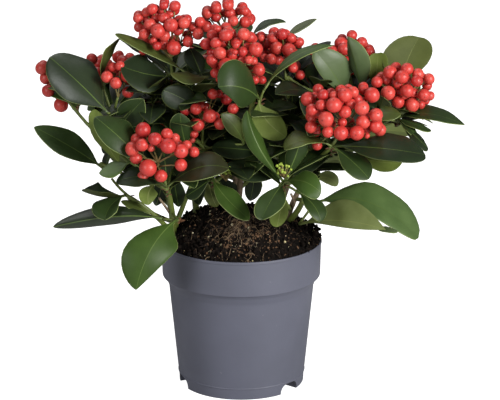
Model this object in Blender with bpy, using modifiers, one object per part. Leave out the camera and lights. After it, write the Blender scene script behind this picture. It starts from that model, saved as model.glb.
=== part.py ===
"""A skimmia in fruit, standing in its round nursery pot.

The pot, the soil, the stems, the boughs and the masses of foliage are separate solids.
Lengths are in metres. The origin is the centre of the pot's flat underside, +Z is up and
the front of the plant faces -Y.
"""

import math
import random
from typing import NamedTuple

import bmesh
import bpy
from mathutils import Matrix, Quaternion, Vector
from mathutils.bvhtree import BVHTree

# Space left between neighbouring solids
GAP = 0.0003
MASS_GAP = 0.0006
MERGE_DISTANCE = 0.00001

# Pot: a straight taper under a wider rim band, with a low foot
POT_SIDES = 36
POT_HEIGHT = 0.1200
RIM_RADIUS = 0.0650
RIM_ROUNDING = 0.0006
BAND_FOOT_RADIUS = 0.0639
BAND_FOOT_HEIGHT = 0.0910
WALL_TOP_RADIUS = 0.0587
WALL_TOP_HEIGHT = 0.0830
WALL_FOOT_RADIUS = 0.0516
FOOT_STEP_HEIGHT = 0.0090
FOOT_STEP_DEPTH = 0.0004
FOOT_RADIUS = 0.0508
WALL_THICKNESS = 0.0014
FLOOR_THICKNESS = 0.0020

# Drainage notches in the pot's foot
NOTCH_BEARINGS = (50.0, -70.0, 170.0)
NOTCH_WIDTH = 0.0180
NOTCH_HEIGHT = 0.0080
NOTCH_DEPTH = 0.0120
NOTCH_ROUNDING = 0.0048
NOTCH_ROUNDING_STEPS = 2

# Soil: fills the pot and mounds over its rim
SOIL_CROWN_HEIGHT = 0.1360
SOIL_EDGE_HEIGHT = 0.1185
SOIL_RINGS = 3

# Limbs: stems that stand on the soil, and boughs that grow from them
LIMB_POINTS = 5
STEM_BEVEL_RESOLUTION = 2
BOUGH_BEVEL_RESOLUTION = 1
STEM_EASE = (0.30, 0.58)
BOUGH_EASE = (0.55, 0.36)
BOUGH_SHARE_OF_CARRIER = 0.85
ROOT_FLARE = 1.35
FOOT_RING_REACH = 1.1

# Masses of foliage
FINE_SUBDIVISIONS = 3
COARSE_SUBDIVISIONS = 2
PAD_OVERLAP = 0.0050
UNEVENNESS = 0.10
WAVES = 4
WAVE_RATES = (2.5, 5.0)
LOBE_ANGLE = math.radians(25.0)
LOBE_BLEND = 6.0
SEED = 41


class Stem(NamedTuple):
    """A limb that rises from a flat cut on the soil."""

    name: str
    foot: tuple
    tip: tuple
    foot_radius: float = 0.0024
    tip_radius: float = 0.0018


class Bough(NamedTuple):
    """A limb that leaves its carrier at a share of the carrier's length."""

    name: str
    carrier: str
    share: float
    tip: tuple
    foot_radius: float = 0.0018
    tip_radius: float = 0.0013


class Mass(NamedTuple):
    """A head of leaves and berries: a rounded body with lobes out to its furthest leaf tips."""

    name: str
    centre: tuple
    half_size: tuple
    tips: tuple = ()


class Pad(NamedTuple):
    """A thin, flat mass that runs from its bough's end to a leaf tip, rolled about its length."""

    name: str
    bough: str
    tip: tuple
    width: float
    thickness: float
    roll: float


STEMS = (
    Stem("stem_left", (-0.054, -0.008), (-0.061, -0.050, 0.186)),
    Stem("stem_back_left", (-0.036, 0.022), (-0.062, 0.006, 0.252)),
    Stem("stem_centre", (-0.003, 0.004), (0.010, -0.024, 0.243)),
    Stem("stem_right", (0.035, -0.006), (0.070, -0.052, 0.210)),
    Stem("stem_back_right", (0.030, 0.026), (0.084, 0.044, 0.244)),
    Stem("stem_back", (-0.004, 0.040), (-0.008, 0.088, 0.208)),
)

BOUGHS = (
    Bough("bough_hanging", "stem_left", 0.36, (-0.050, -0.050, 0.150)),
    Bough("bough_low_left", "stem_left", 0.22, (-0.085, -0.022, 0.158)),
    Bough("bough_left", "stem_left", 0.46, (-0.100, -0.004, 0.214)),
    Bough("bough_left_lance", "bough_left", 0.34, (-0.112, -0.004, 0.184)),
    Bough("bough_far_left", "bough_left", 0.52, (-0.137, 0.000, 0.234)),
    Bough("bough_back_left", "stem_back_left", 0.34, (-0.084, 0.060, 0.216)),
    Bough("bough_centre_left", "stem_centre", 0.30, (-0.034, -0.014, 0.204)),
    Bough("bough_top_centre", "stem_centre", 0.55, (-0.014, 0.032, 0.266)),
    Bough("bough_heart", "stem_centre", 0.20, (0.020, 0.012, 0.184)),
    Bough("bough_middle", "stem_centre", 0.12, (-0.020, -0.028, 0.176)),
    Bough("bough_centre_low", "stem_right", 0.18, (0.030, -0.046, 0.176)),
    Bough("bough_right_low", "stem_right", 0.30, (0.059, -0.027, 0.157)),
    Bough("bough_crown_right", "stem_back_right", 0.30, (0.037, 0.014, 0.250)),
    Bough("bough_right", "stem_back_right", 0.42, (0.124, 0.000, 0.222)),
    Bough("bough_back_right_low", "stem_back_right", 0.20, (0.074, 0.082, 0.192)),
    Bough("bough_back_low_left", "stem_back", 0.26, (-0.050, 0.080, 0.168)),
    Bough("bough_back_low_right", "stem_back", 0.44, (0.028, 0.100, 0.162)),
)

MASSES = (
    Mass(
        "foliage_front_right", (0.079, -0.056, 0.230), (0.040, 0.025, 0.024),
        ((0.1420, -0.050, 0.2130), (0.0920, -0.064, 0.1860)),
    ),
    Mass(
        "foliage_left_front", (-0.068, -0.057, 0.205), (0.033, 0.024, 0.023),
        ((-0.0117, -0.060, 0.1954), (-0.1160, -0.036, 0.2261), (-0.0980, -0.062, 0.1825)),
    ),
    Mass(
        "foliage_centre_front", (-0.002, -0.028, 0.267), (0.029, 0.022, 0.030),
        ((-0.018, -0.050, 0.2520),),
    ),
    Mass(
        "foliage_centre_low", (0.031, -0.052, 0.194), (0.026, 0.019, 0.024),
        ((0.000, -0.058, 0.2350), (0.0137, -0.078, 0.1600), (0.0600, -0.068, 0.1600)),
    ),
    Mass(
        "foliage_top_left", (-0.064, 0.002, 0.279), (0.032, 0.028, 0.031),
        ((-0.1015, -0.010, 0.2910), (-0.062, 0.000, 0.3150)),
    ),
    Mass(
        "foliage_top_centre", (-0.012, 0.037, 0.283), (0.034, 0.026, 0.024),
        ((0.0339, 0.050, 0.2883), (-0.012, 0.034, 0.3110)),
    ),
    Mass(
        "foliage_crown_right", (0.038, 0.012, 0.266), (0.027, 0.023, 0.024),
        ((0.0695, -0.012, 0.2837),),
    ),
    Mass(
        "foliage_right", (0.131, -0.002, 0.241), (0.033, 0.028, 0.025),
        ((0.1746, -0.012, 0.2176), (0.1376, 0.018, 0.2813)),
    ),
    Mass(
        "foliage_back_right", (0.088, 0.046, 0.261), (0.032, 0.025, 0.022),
        ((0.0578, 0.040, 0.2919), (0.0835, 0.022, 0.2840), (0.1060, 0.083, 0.2500)),
    ),
    Mass(
        "foliage_left", (-0.100, -0.002, 0.238), (0.023, 0.022, 0.029),
        ((-0.0981, 0.010, 0.2836),),
    ),
    Mass(
        "foliage_far_left", (-0.141, 0.000, 0.250), (0.023, 0.019, 0.024),
        ((-0.1530, -0.012, 0.2760), (-0.1660, 0.016, 0.2572)),
    ),
    Mass("foliage_centre_left", (-0.037, -0.016, 0.224), (0.024, 0.019, 0.022)),
    Mass("foliage_heart", (0.010, 0.014, 0.205), (0.040, 0.024, 0.026)),
    Mass("foliage_middle", (-0.007, -0.031, 0.187), (0.027, 0.017, 0.019)),
    Mass(
        "foliage_back_left", (-0.086, 0.064, 0.239), (0.039, 0.030, 0.028),
        ((-0.1380, 0.066, 0.2280), (-0.0800, 0.112, 0.2450)),
    ),
    Mass(
        "foliage_back", (-0.006, 0.094, 0.236), (0.040, 0.030, 0.030),
        ((-0.0200, 0.142, 0.2250), (0.0380, 0.112, 0.2640)),
    ),
    Mass(
        "foliage_back_right_low", (0.079, 0.088, 0.214), (0.037, 0.028, 0.027),
        ((0.1320, 0.088, 0.2000), (0.0800, 0.136, 0.2050)),
    ),
    Mass(
        "foliage_back_low_left", (-0.058, 0.086, 0.183), (0.038, 0.028, 0.021),
        ((-0.1120, 0.084, 0.1680), (-0.0450, 0.132, 0.1720)),
    ),
    Mass(
        "foliage_back_low_right", (0.030, 0.108, 0.176), (0.035, 0.026, 0.019),
        ((0.0300, 0.152, 0.1600), (0.0800, 0.112, 0.1620)),
    ),
)

PADS = (
    Pad("foliage_left_lance", "bough_left_lance", (-0.1660, -0.002, 0.2137), 0.032, 0.013, -35.0),
    Pad("foliage_low_left", "bough_low_left", (-0.1514, -0.022, 0.1367), 0.040, 0.013, -30.0),
    Pad("foliage_hanging", "bough_hanging", (-0.0830, -0.088, 0.1050), 0.046, 0.010, 0.0),
    Pad("foliage_right_low", "bough_right_low", (0.1390, -0.048, 0.1400), 0.050, 0.015, 35.0),
)

# Colours, roughness
POT_LOOK = ((0.115, 0.120, 0.155), 0.55)
SOIL_LOOK = ((0.022, 0.015, 0.010), 0.95)
BARK_LOOK = ((0.120, 0.130, 0.045), 0.70)
LEAF_LOOK = ((0.045, 0.085, 0.022), 0.40)


def clear_scene():
    """Remove whatever the file opened with."""
    for item in list(bpy.data.objects):
        bpy.data.objects.remove(item, do_unlink=True)


def add_collection(name):
    """Add a collection under the scene's own."""
    collection = bpy.data.collections.new(name)
    bpy.context.scene.collection.children.link(collection)
    return collection


def new_material(name, look):
    """A Principled material with one colour and roughness."""
    colour, roughness = look
    material = bpy.data.materials.new(name)
    material.use_nodes = True
    shader = material.node_tree.nodes["Principled BSDF"]
    shader.inputs["Base Color"].default_value = (*colour, 1.0)
    shader.inputs["Roughness"].default_value = roughness
    return material


def new_object(name, mesh, collection, look=None):
    """Put a mesh in a collection as a named object."""
    item = bpy.data.objects.new(name, mesh)
    collection.objects.link(item)
    if look:
        mesh.materials.clear()
        mesh.materials.append(new_material(name, look))
    return item


def mark_cutter(item):
    """Show an object as a cutter only."""
    item.hide_render = True
    item.display_type = "WIRE"


def cut(item, cutter):
    """Take a cutter's shape out of an object."""
    boolean = item.modifiers.new("Cut " + cutter.name, "BOOLEAN")
    boolean.operation = "DIFFERENCE"
    boolean.solver = "EXACT"
    boolean.object = cutter


def profile_mesh(name, profile):
    """A profile of (radius, height) points joined by edges, ready to be turned about Z."""
    bm = bmesh.new()
    points = [bm.verts.new((radius, 0.0, height)) for radius, height in profile]
    for first, second in zip(points, points[1:]):
        bm.edges.new((first, second))
    mesh = bpy.data.meshes.new(name)
    bm.to_mesh(mesh)
    bm.free()
    return mesh


def add_screw(item):
    """Turn an object's profile once round the Z axis."""
    screw = item.modifiers.new("Turn", "SCREW")
    screw.steps = POT_SIDES
    screw.render_steps = POT_SIDES
    screw.use_merge_vertices = True
    screw.merge_threshold = MERGE_DISTANCE
    screw.use_smooth_shade = True


def inner_profile(inset):
    """The inside of the pot's wall from floor to rim, moved inwards by an inset."""
    step_inside = WALL_THICKNESS + inset
    return [
        (FOOT_RADIUS - step_inside, FLOOR_THICKNESS + inset),
        (WALL_FOOT_RADIUS - step_inside, FOOT_STEP_HEIGHT),
        (WALL_TOP_RADIUS - step_inside, WALL_TOP_HEIGHT + inset),
        (BAND_FOOT_RADIUS - step_inside, BAND_FOOT_HEIGHT + inset),
    ]


def build_pot(parts, cutters):
    """The pot: a closed cup with a rim band and three drainage notches."""
    lip_inside = RIM_RADIUS - WALL_THICKNESS
    profile = [(0.0, FLOOR_THICKNESS)]
    profile += inner_profile(0.0)
    profile += [
        (lip_inside, POT_HEIGHT - RIM_ROUNDING),
        (lip_inside + RIM_ROUNDING, POT_HEIGHT),
        (RIM_RADIUS - RIM_ROUNDING, POT_HEIGHT),
        (RIM_RADIUS, POT_HEIGHT - RIM_ROUNDING),
        (BAND_FOOT_RADIUS, BAND_FOOT_HEIGHT),
        (WALL_TOP_RADIUS, WALL_TOP_HEIGHT),
        (WALL_FOOT_RADIUS, FOOT_STEP_HEIGHT),
        (WALL_FOOT_RADIUS - FOOT_STEP_DEPTH, FOOT_STEP_HEIGHT - FOOT_STEP_DEPTH),
        (FOOT_RADIUS, 0.0),
        (0.0, 0.0),
    ]
    pot = new_object("pot", profile_mesh("pot", profile), parts, POT_LOOK)
    add_screw(pot)
    for number, bearing in enumerate(NOTCH_BEARINGS, start=1):
        cut(pot, build_notch(number, bearing, cutters))


def build_notch(number, bearing, cutters):
    """A rounded block across the pot's foot, at a bearing from the front."""
    angle = math.radians(bearing)
    across = FOOT_RADIUS * math.sin(angle)
    forward = -FOOT_RADIUS * math.cos(angle)
    bpy.ops.mesh.primitive_cube_add(size=1.0, location=(across, forward, 0.0))
    block = bpy.context.object
    block.name = f"notch_{number}"
    block.scale = (NOTCH_WIDTH, NOTCH_DEPTH, 2.0 * NOTCH_HEIGHT)
    block.rotation_euler = (0.0, 0.0, angle)
    bpy.ops.object.transform_apply(location=False, rotation=False, scale=True)
    bevel = block.modifiers.new("Rounding", "BEVEL")
    bevel.width = NOTCH_ROUNDING
    bevel.segments = NOTCH_ROUNDING_STEPS
    for owner in list(block.users_collection):
        owner.objects.unlink(block)
    cutters.objects.link(block)
    mark_cutter(block)
    return block


def soil_height(radius):
    """Height of the soil's smooth mound at a distance from the pot's axis."""
    edge = RIM_RADIUS - WALL_THICKNESS - GAP
    fall = (SOIL_CROWN_HEIGHT - SOIL_EDGE_HEIGHT) * (radius / edge) ** 2
    return SOIL_CROWN_HEIGHT - fall


def build_soil(parts):
    """The root ball, which fills the pot and ends in a low mound."""
    edge = RIM_RADIUS - WALL_THICKNESS - GAP
    profile = [(0.0, SOIL_CROWN_HEIGHT)]
    for ring in range(1, SOIL_RINGS + 1):
        radius = edge * ring / SOIL_RINGS
        profile.append((radius, soil_height(radius)))
    profile += reversed(inner_profile(GAP))
    profile.append((0.0, FLOOR_THICKNESS + GAP))
    soil = new_object("soil", profile_mesh("soil", profile), parts, SOIL_LOOK)
    add_screw(soil)


def limb_path(start, tip, ease_shares):
    """Points of a limb that bends once, at its shares of the way across and up to its tip."""
    start = Vector(start)
    tip = Vector(tip)
    across, upward = ease_shares
    way = tip - start
    ease = start + Vector((way.x * across, way.y * across, way.z * upward))
    points = []
    for step in range(LIMB_POINTS):
        share = step / (LIMB_POINTS - 1)
        points.append(start * (1 - share) ** 2 + ease * 2 * share * (1 - share) + tip * share ** 2)
    return points


def along(points, share):
    """The place at a share of a limb's length, between its points."""
    reach = share * (len(points) - 1)
    step = min(int(reach), len(points) - 2)
    return points[step].lerp(points[step + 1], reach - step)


def limb_mesh(limb, path, flare, grow):
    """A tapering round limb along its path, made a closed mesh. grow makes it fatter and longer."""
    points = [point.copy() for point in path]
    points[0] -= (points[1] - points[0]).normalized() * grow
    points[-1] += (points[-1] - points[-2]).normalized() * grow
    curve = bpy.data.curves.new(limb.name, "CURVE")
    curve.dimensions = "3D"
    curve.bevel_depth = 1.0
    is_stem = isinstance(limb, Stem)
    curve.bevel_resolution = STEM_BEVEL_RESOLUTION if is_stem else BOUGH_BEVEL_RESOLUTION
    curve.use_fill_caps = True
    spline = curve.splines.new("POLY")
    spline.points.add(len(points) - 1)
    for index, (place, target) in enumerate(zip(points, spline.points)):
        share = index / (len(points) - 1)
        target.co = (*place, 1.0)
        target.radius = radius_along(limb, share) * (flare if index == 0 else 1.0) + grow
    item = bpy.data.objects.new(limb.name, curve)
    bpy.context.scene.collection.objects.link(item)
    depsgraph = bpy.context.evaluated_depsgraph_get()
    mesh = bpy.data.meshes.new_from_object(item.evaluated_get(depsgraph))
    bpy.data.objects.remove(item, do_unlink=True)
    bpy.data.curves.remove(curve)
    bm = bmesh.new()
    bm.from_mesh(mesh)
    bmesh.ops.remove_doubles(bm, verts=bm.verts, dist=MERGE_DISTANCE)
    bm.to_mesh(mesh)
    bm.free()
    mesh.name = limb.name
    mesh.shade_smooth()
    return mesh


def level_foot(mesh, centre, radius):
    """Set a stem's foot ring flat at the height of its centre."""
    for vertex in mesh.vertices:
        if (vertex.co - centre).length < FOOT_RING_REACH * radius:
            vertex.co.z = centre.z


def surface_tree(mesh):
    """A search tree of a mesh's faces, for finding which solids meet."""
    places = [vertex.co for vertex in mesh.vertices]
    return BVHTree.FromPolygons(places, [tuple(face.vertices) for face in mesh.polygons])


def radius_along(limb, share):
    """A limb's radius at a share of its length."""
    return limb.foot_radius + (limb.tip_radius - limb.foot_radius) * share


def thinned(bough, carrier):
    """A bough that is thinner than its carrier where it leaves it."""
    most = BOUGH_SHARE_OF_CARRIER * radius_along(carrier, bough.share)
    foot_radius = min(bough.foot_radius, most)
    return bough._replace(foot_radius=foot_radius, tip_radius=min(bough.tip_radius, foot_radius))


def build_limbs(parts, cutters):
    """The stems and boughs. Returns a fatter cutter and a search tree for each limb."""
    made = {}
    grown = {}
    for limb in STEMS + BOUGHS:
        if isinstance(limb, Stem):
            nearest = max(0.0, math.hypot(*limb.foot) - limb.foot_radius * ROOT_FLARE)
            path = limb_path((*limb.foot, soil_height(nearest) + GAP), limb.tip, STEM_EASE)
            flare = ROOT_FLARE
        else:
            carrier, carrier_path = made[limb.carrier]
            limb = thinned(limb, carrier)
            path = limb_path(along(carrier_path, limb.share), limb.tip, BOUGH_EASE)
            flare = 1.0
        made[limb.name] = (limb, path)
        mesh = limb_mesh(limb, path, flare, 0.0)
        if isinstance(limb, Stem):
            level_foot(mesh, path[0], limb.foot_radius * ROOT_FLARE)
        item = new_object(limb.name, mesh, parts, BARK_LOOK)
        tree = surface_tree(mesh)
        for cutter, cutter_tree in grown.values():
            if tree.overlap(cutter_tree):
                cut(item, cutter)
        room_mesh = limb_mesh(limb, path, flare, GAP)
        room = new_object("room_" + limb.name, room_mesh, cutters)
        mark_cutter(room)
        grown[limb.name] = (room, surface_tree(room_mesh))
    return grown


def wave_set(rng):
    """Directions and phases of the slow waves that make a mass uneven."""
    waves = []
    for _ in range(WAVES):
        direction = Vector((rng.uniform(-1, 1), rng.uniform(-1, 1), rng.uniform(-1, 1)))
        waves.append((direction.normalized() * rng.uniform(*WAVE_RATES), rng.uniform(0, math.tau)))
    return waves


def reach(direction, half_size, waves, lobes):
    """Distance from a mass's centre to its surface in a direction."""
    squares = sum((part / half) ** 2 for part, half in zip(direction, half_size))
    body = 1.0 / math.sqrt(squares)
    ripple = sum(math.sin(direction.dot(wave) + phase) for wave, phase in waves)
    body *= 1.0 + UNEVENNESS * ripple / math.sqrt(WAVES)
    total = body ** LOBE_BLEND
    for lobe in lobes:
        angle = direction.angle(lobe)
        total += (lobe.length * math.exp(-((angle / LOBE_ANGLE) ** 2))) ** LOBE_BLEND
    return total ** (1.0 / LOBE_BLEND)


def mass_mesh(name, half_size, lobes, subdivisions, waves, grow):
    """A closed, uneven ball with its lobes, about its own centre."""
    bm = bmesh.new()
    bmesh.ops.create_icosphere(bm, subdivisions=subdivisions, radius=1.0)
    for lobe in lobes:
        nearest = min(bm.verts, key=lambda vertex: vertex.co.angle(lobe))
        nearest.co = lobe.normalized()
    for vertex in bm.verts:
        direction = vertex.co.normalized()
        vertex.co = direction * (reach(direction, half_size, waves, lobes) + grow)
    mesh = bpy.data.meshes.new(name)
    bm.to_mesh(mesh)
    bm.free()
    mesh.shade_smooth()
    return mesh


def pad_frame(pad):
    """Centre, turn and end lobes of a pad, whose length lies along local X."""
    tip = Vector(pad.tip)
    bough_end = Vector(next(bough.tip for bough in BOUGHS if bough.name == pad.bough))
    forward = (tip - bough_end).normalized()
    base = bough_end - forward * PAD_OVERLAP
    side = Vector((0.0, 0.0, 1.0)).cross(forward).normalized()
    side.rotate(Quaternion(forward, math.radians(pad.roll)))
    upward = forward.cross(side)
    turn = Matrix((forward, side, upward)).transposed()
    half_length = (tip - base).length / 2
    ends = [Vector((half_length, 0.0, 0.0)), Vector((-half_length, 0.0, 0.0))]
    return (base + tip) / 2, turn, ends


def mass_shape(entry):
    """A mass's or pad's half sizes, lobes and place, and how finely it is divided."""
    if isinstance(entry, Pad):
        centre, turn, lobes = pad_frame(entry)
        half_size = (lobes[0].length, entry.width / 2, entry.thickness / 2)
    else:
        centre = Vector(entry.centre)
        turn = Matrix.Identity(3)
        half_size = entry.half_size
        lobes = [Vector(tip) - centre for tip in entry.tips]
    fine = isinstance(entry, Mass) and entry.tips
    subdivisions = FINE_SUBDIVISIONS if fine else COARSE_SUBDIVISIONS
    return half_size, lobes, Matrix.Translation(centre) @ turn.to_4x4(), subdivisions


def build_masses(parts, cutters, grown_limbs):
    """The masses and pads, each cut back from the limbs and from the masses made before it."""
    rng = random.Random(SEED)
    finished = list(grown_limbs.values())
    for entry in MASSES + PADS:
        half_size, lobes, place, subdivisions = mass_shape(entry)
        waves = wave_set(rng)
        mesh = mass_mesh(entry.name, half_size, lobes, subdivisions, waves, 0.0)
        mesh.transform(place)
        item = new_object(entry.name, mesh, parts, LEAF_LOOK)
        tree = surface_tree(mesh)
        for cutter, cutter_tree in finished:
            if tree.overlap(cutter_tree):
                cut(item, cutter)
        room_name = "room_" + entry.name
        room_mesh = mass_mesh(room_name, half_size, lobes, subdivisions, waves, MASS_GAP)
        room_mesh.transform(place)
        room = new_object(room_name, room_mesh, cutters)
        mark_cutter(room)
        finished.append((room, surface_tree(room_mesh)))


def main():
    """Build the whole plant in its pot."""
    clear_scene()
    parts = add_collection("skimmia")
    cutters = add_collection("cutters")
    build_pot(parts, cutters)
    build_soil(parts)
    grown_limbs = build_limbs(parts, cutters)
    build_masses(parts, cutters, grown_limbs)


main()
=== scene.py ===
"""The looks of a skimmia in fruit, standing in its round nursery pot.

Lengths are in metres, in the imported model's frame: +Z is up and the front faces -Y.
The limbs follow the model's limbs. From their tips grow twigs, whorls of leaves and heads of
berries. Leaves that show in the photograph are placed by the column and row of their tips.
"""

import math
import random
from typing import NamedTuple

import bmesh
import bpy
import numpy as np
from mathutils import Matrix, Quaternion, Vector, noise


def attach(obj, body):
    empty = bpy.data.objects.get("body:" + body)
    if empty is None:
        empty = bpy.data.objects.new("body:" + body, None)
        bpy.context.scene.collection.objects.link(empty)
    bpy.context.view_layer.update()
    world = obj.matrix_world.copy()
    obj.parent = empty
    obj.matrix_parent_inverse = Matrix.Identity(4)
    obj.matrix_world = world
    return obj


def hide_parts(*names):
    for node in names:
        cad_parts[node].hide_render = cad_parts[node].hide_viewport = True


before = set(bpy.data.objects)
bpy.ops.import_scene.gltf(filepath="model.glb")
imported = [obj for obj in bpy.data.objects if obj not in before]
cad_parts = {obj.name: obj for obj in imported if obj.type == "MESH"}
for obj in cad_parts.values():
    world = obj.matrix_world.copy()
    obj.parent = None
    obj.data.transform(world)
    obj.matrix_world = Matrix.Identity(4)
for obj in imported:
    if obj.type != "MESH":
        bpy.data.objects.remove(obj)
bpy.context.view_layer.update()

# Photograph and camera
PHOTO_COLUMNS = 500
PHOTO_ROWS = 400
FOCAL_LENGTH_IN_COLUMNS = 2133.0
SENSOR_WIDTH_MM = 36.0
CAMERA_PLACE = Vector((0.0, -1.645, 0.631))
CAMERA_DOWN = math.radians(16.235)
CAMERA_RIGHT = math.radians(0.244)

# Pot
POT_SIDES = 128
POT_HEIGHT = 0.1200
RIM_RADIUS = 0.0650
RIM_ROUNDING = 0.0007
LIP_BEAD = 0.0005
BAND_FOOT_RADIUS = 0.0639
BAND_FOOT_HEIGHT = 0.0910
WALL_TOP_RADIUS = 0.0587
WALL_TOP_HEIGHT = 0.0830
WALL_FOOT_RADIUS = 0.0516
FOOT_STEP_HEIGHT = 0.0090
FOOT_STEP_DEPTH = 0.0004
FOOT_BEAD = 0.0003
FOOT_RADIUS = 0.0508
FOOT_ROUNDING = 0.0006
WALL_THICKNESS = 0.0014
FLOOR_THICKNESS = 0.0096
NOTCH_BEARINGS = (50.0, -70.0, 170.0)
NOTCH_WIDTH = 0.0200
NOTCH_HEIGHT = 0.0080
NOTCH_DEPTH = 0.0480
NOTCH_ROUNDING = 0.0066
NOTCH_ROUNDING_STEPS = 5
POT_CREASE = math.radians(28.0)

# Soil
SOIL_EDGE = 0.0632
SOIL_CROWN_HEIGHT = 0.1398
SOIL_EDGE_HEIGHT = 0.1175
SOIL_BACK_RISE = 0.0070
SOIL_BACK_BEARING = math.radians(110.0)
SOIL_FLATNESS = 3.0
SOIL_RINGS = 44
SOIL_SIDES = 150
SOIL_RISE = 0.0012
# How often the soil's top rises and falls in a metre, the layer of noise, and the height
SOIL_NOISE = ((70.0, 1.5, 0.0032), (260.0, 7.0, 0.0022), (700.0, 3.0, 0.0009))
# Sizes and half widths are given as the least, and the most that is added to it
CRUMBS = 4200
CRUMB_SIZES = (0.0005, 0.0017)
GRIT = 240
GRIT_SIZES = (0.0003, 0.0010)
RIM_CRUMBS = 220
RIM_CRUMB_BEARING = 12.0
RIM_CRUMB_SPREAD = 24.0
RIM_CRUMB_RISE = 0.0055
BROWN_PATCH = (0.0, -0.036)
BROWN_PATCH_REACH = (0.030, 0.020)
BROWN_SHARE = 0.07
BROWN_PATCH_SHARE = 0.85
LARGEST_BROWN_CRUMB = 0.0013
FIBRES = 520
FIBRE_STEPS = 9
FIBRE_SIDES = 5
FIBRE_LENGTHS = (0.004, 0.013)
FIBRE_CURL = 2.2
FIBRE_HALF_WIDTHS = (0.00007, 0.00016)
TANGLED_SHARE = 0.45
TANGLE_BEARING = math.radians(-92.0)
TANGLE_TAN_SHARE = 0.60
TAN_SHARE = 0.20

# Limbs
STEM_EASE = (0.30, 0.58)
BOUGH_EASE = (0.55, 0.36)
STEM_RADII = (0.0024, 0.0018)
BOUGH_RADII = (0.0018, 0.0013)
BOUGH_SHARE_OF_CARRIER = 0.85
ROOT_FLARE = 1.35
LIMB_RINGS = 34
LIMB_SIDES = 12
TWIG_RADIUS = 0.0013
GOLDEN_ANGLE = math.radians(137.5)

# Berries
BERRY_SIDES = 16
BERRY_RINGS = 10
STALKS_IN_SPRAY = 4
HIDDEN_BERRY_TRIES = 4000
HIDDEN_BERRY_RADII = (0.0037, 0.0050)
HIDDEN_NEAR_SHARE = 0.7
HIDDEN_NEAR_DEPTHS = (0.002, 0.012)
HIDDEN_FAR_DEPTHS = (0.012, 0.024)
HIDDEN_FAR_DROP = 0.25
HEAD_GAP = 0.022
ROUND_HEAD_TRIES = 9000
ROUND_HEAD_SHELL_TRIES = 5200
ROUND_HEAD_HALF_SIZE = (0.019, 0.018, 0.014)
ROUND_HEAD_LIFT = 0.024
ROUND_HEAD_BERRY = 0.0104

# Leaves
LEAF_ROWS = (
    0.0, 0.04, 0.08, 0.12, 0.17, 0.24, 0.32, 0.41, 0.50, 0.59, 0.67, 0.75, 0.82, 0.88, 0.93, 0.965,
    0.988, 1.0,
)
LEAF_COLUMNS = 10
LEAF_MIDDLE = 0.55
LEAF_WIDEST = 0.58
LEAF_SHOULDER = 1.1
LEAF_THICKNESS = 0.00045
LEAF_MARGIN = 0.00040
LEAF_RIB = 0.00034
LEAF_BELLY = 0.05
LEAF_LEAST_HALF_WIDTH = 0.00025
PETIOLE_END = 0.08
PETIOLE_HALF_WIDTH = 0.0010
WHORL_TRIES = 40
WHORL_SLOPES = (48.0, 72.0)
WHORL_SPREAD = 26.0
WHORL_LENGTHS = (0.85, 1.12)
WHORL_WIDTHS = (0.34, 0.41)
WHORL_BOWS = (0.002, 0.007)
WHORL_CUPS = (0.05, 0.20)
WHORL_POINTS = (0.60, 0.90)
WHORL_STRAY = 0.12
DEEPEST_LEAF = 0.163
HIGHEST_LEAF = 0.325
WIDEST_REACH = 0.178
SEED = 23

# Stage
WORLD_STRENGTH = 0.15
FLOOR_SIZE = 40.0
FLOOR_COLOUR = (0.55, 0.55, 0.55, 1.0)
WHITE = (1.0, 1.0, 1.0, 1.0)


def camera_axes():
    """Unit vectors along the camera's view, to its right and upward."""
    forward = Vector((
        math.sin(CAMERA_RIGHT) * math.cos(CAMERA_DOWN),
        math.cos(CAMERA_RIGHT) * math.cos(CAMERA_DOWN),
        -math.sin(CAMERA_DOWN),
    ))
    right = Vector((math.cos(CAMERA_RIGHT), -math.sin(CAMERA_RIGHT), 0.0))
    return forward, right, right.cross(forward)


def seen(column, row, depth):
    """The place at a depth (world Y) that the photograph shows at a column and row."""
    forward, right, upward = camera_axes()
    across = (column - PHOTO_COLUMNS / 2) / FOCAL_LENGTH_IN_COLUMNS
    above = (PHOTO_ROWS / 2 - row) / FOCAL_LENGTH_IN_COLUMNS
    ray = forward + right * across + upward * above
    return CAMERA_PLACE + ray * ((depth - CAMERA_PLACE.y) / ray.y)


def tone(red, green, blue):
    """A display colour from 0 to 255 as the linear colour that a shader takes."""
    linear = []
    for value in (red, green, blue):
        share = value / 255.0
        linear.append(share / 12.92 if share <= 0.04045 else ((share + 0.055) / 1.055) ** 2.4)
    return (*linear, 1.0)


# Shader groups


def new_group(name, inputs, outputs):
    """A shader node group with named sockets. Returns the group and its end nodes."""
    group = bpy.data.node_groups.new(name, "ShaderNodeTree")
    for label, kind, value in inputs:
        socket = group.interface.new_socket(label, in_out="INPUT", socket_type=kind)
        socket.default_value = value
    for label, kind in outputs:
        group.interface.new_socket(label, in_out="OUTPUT", socket_type=kind)
    return group, group.nodes.new("NodeGroupInput"), group.nodes.new("NodeGroupOutput")


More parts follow.
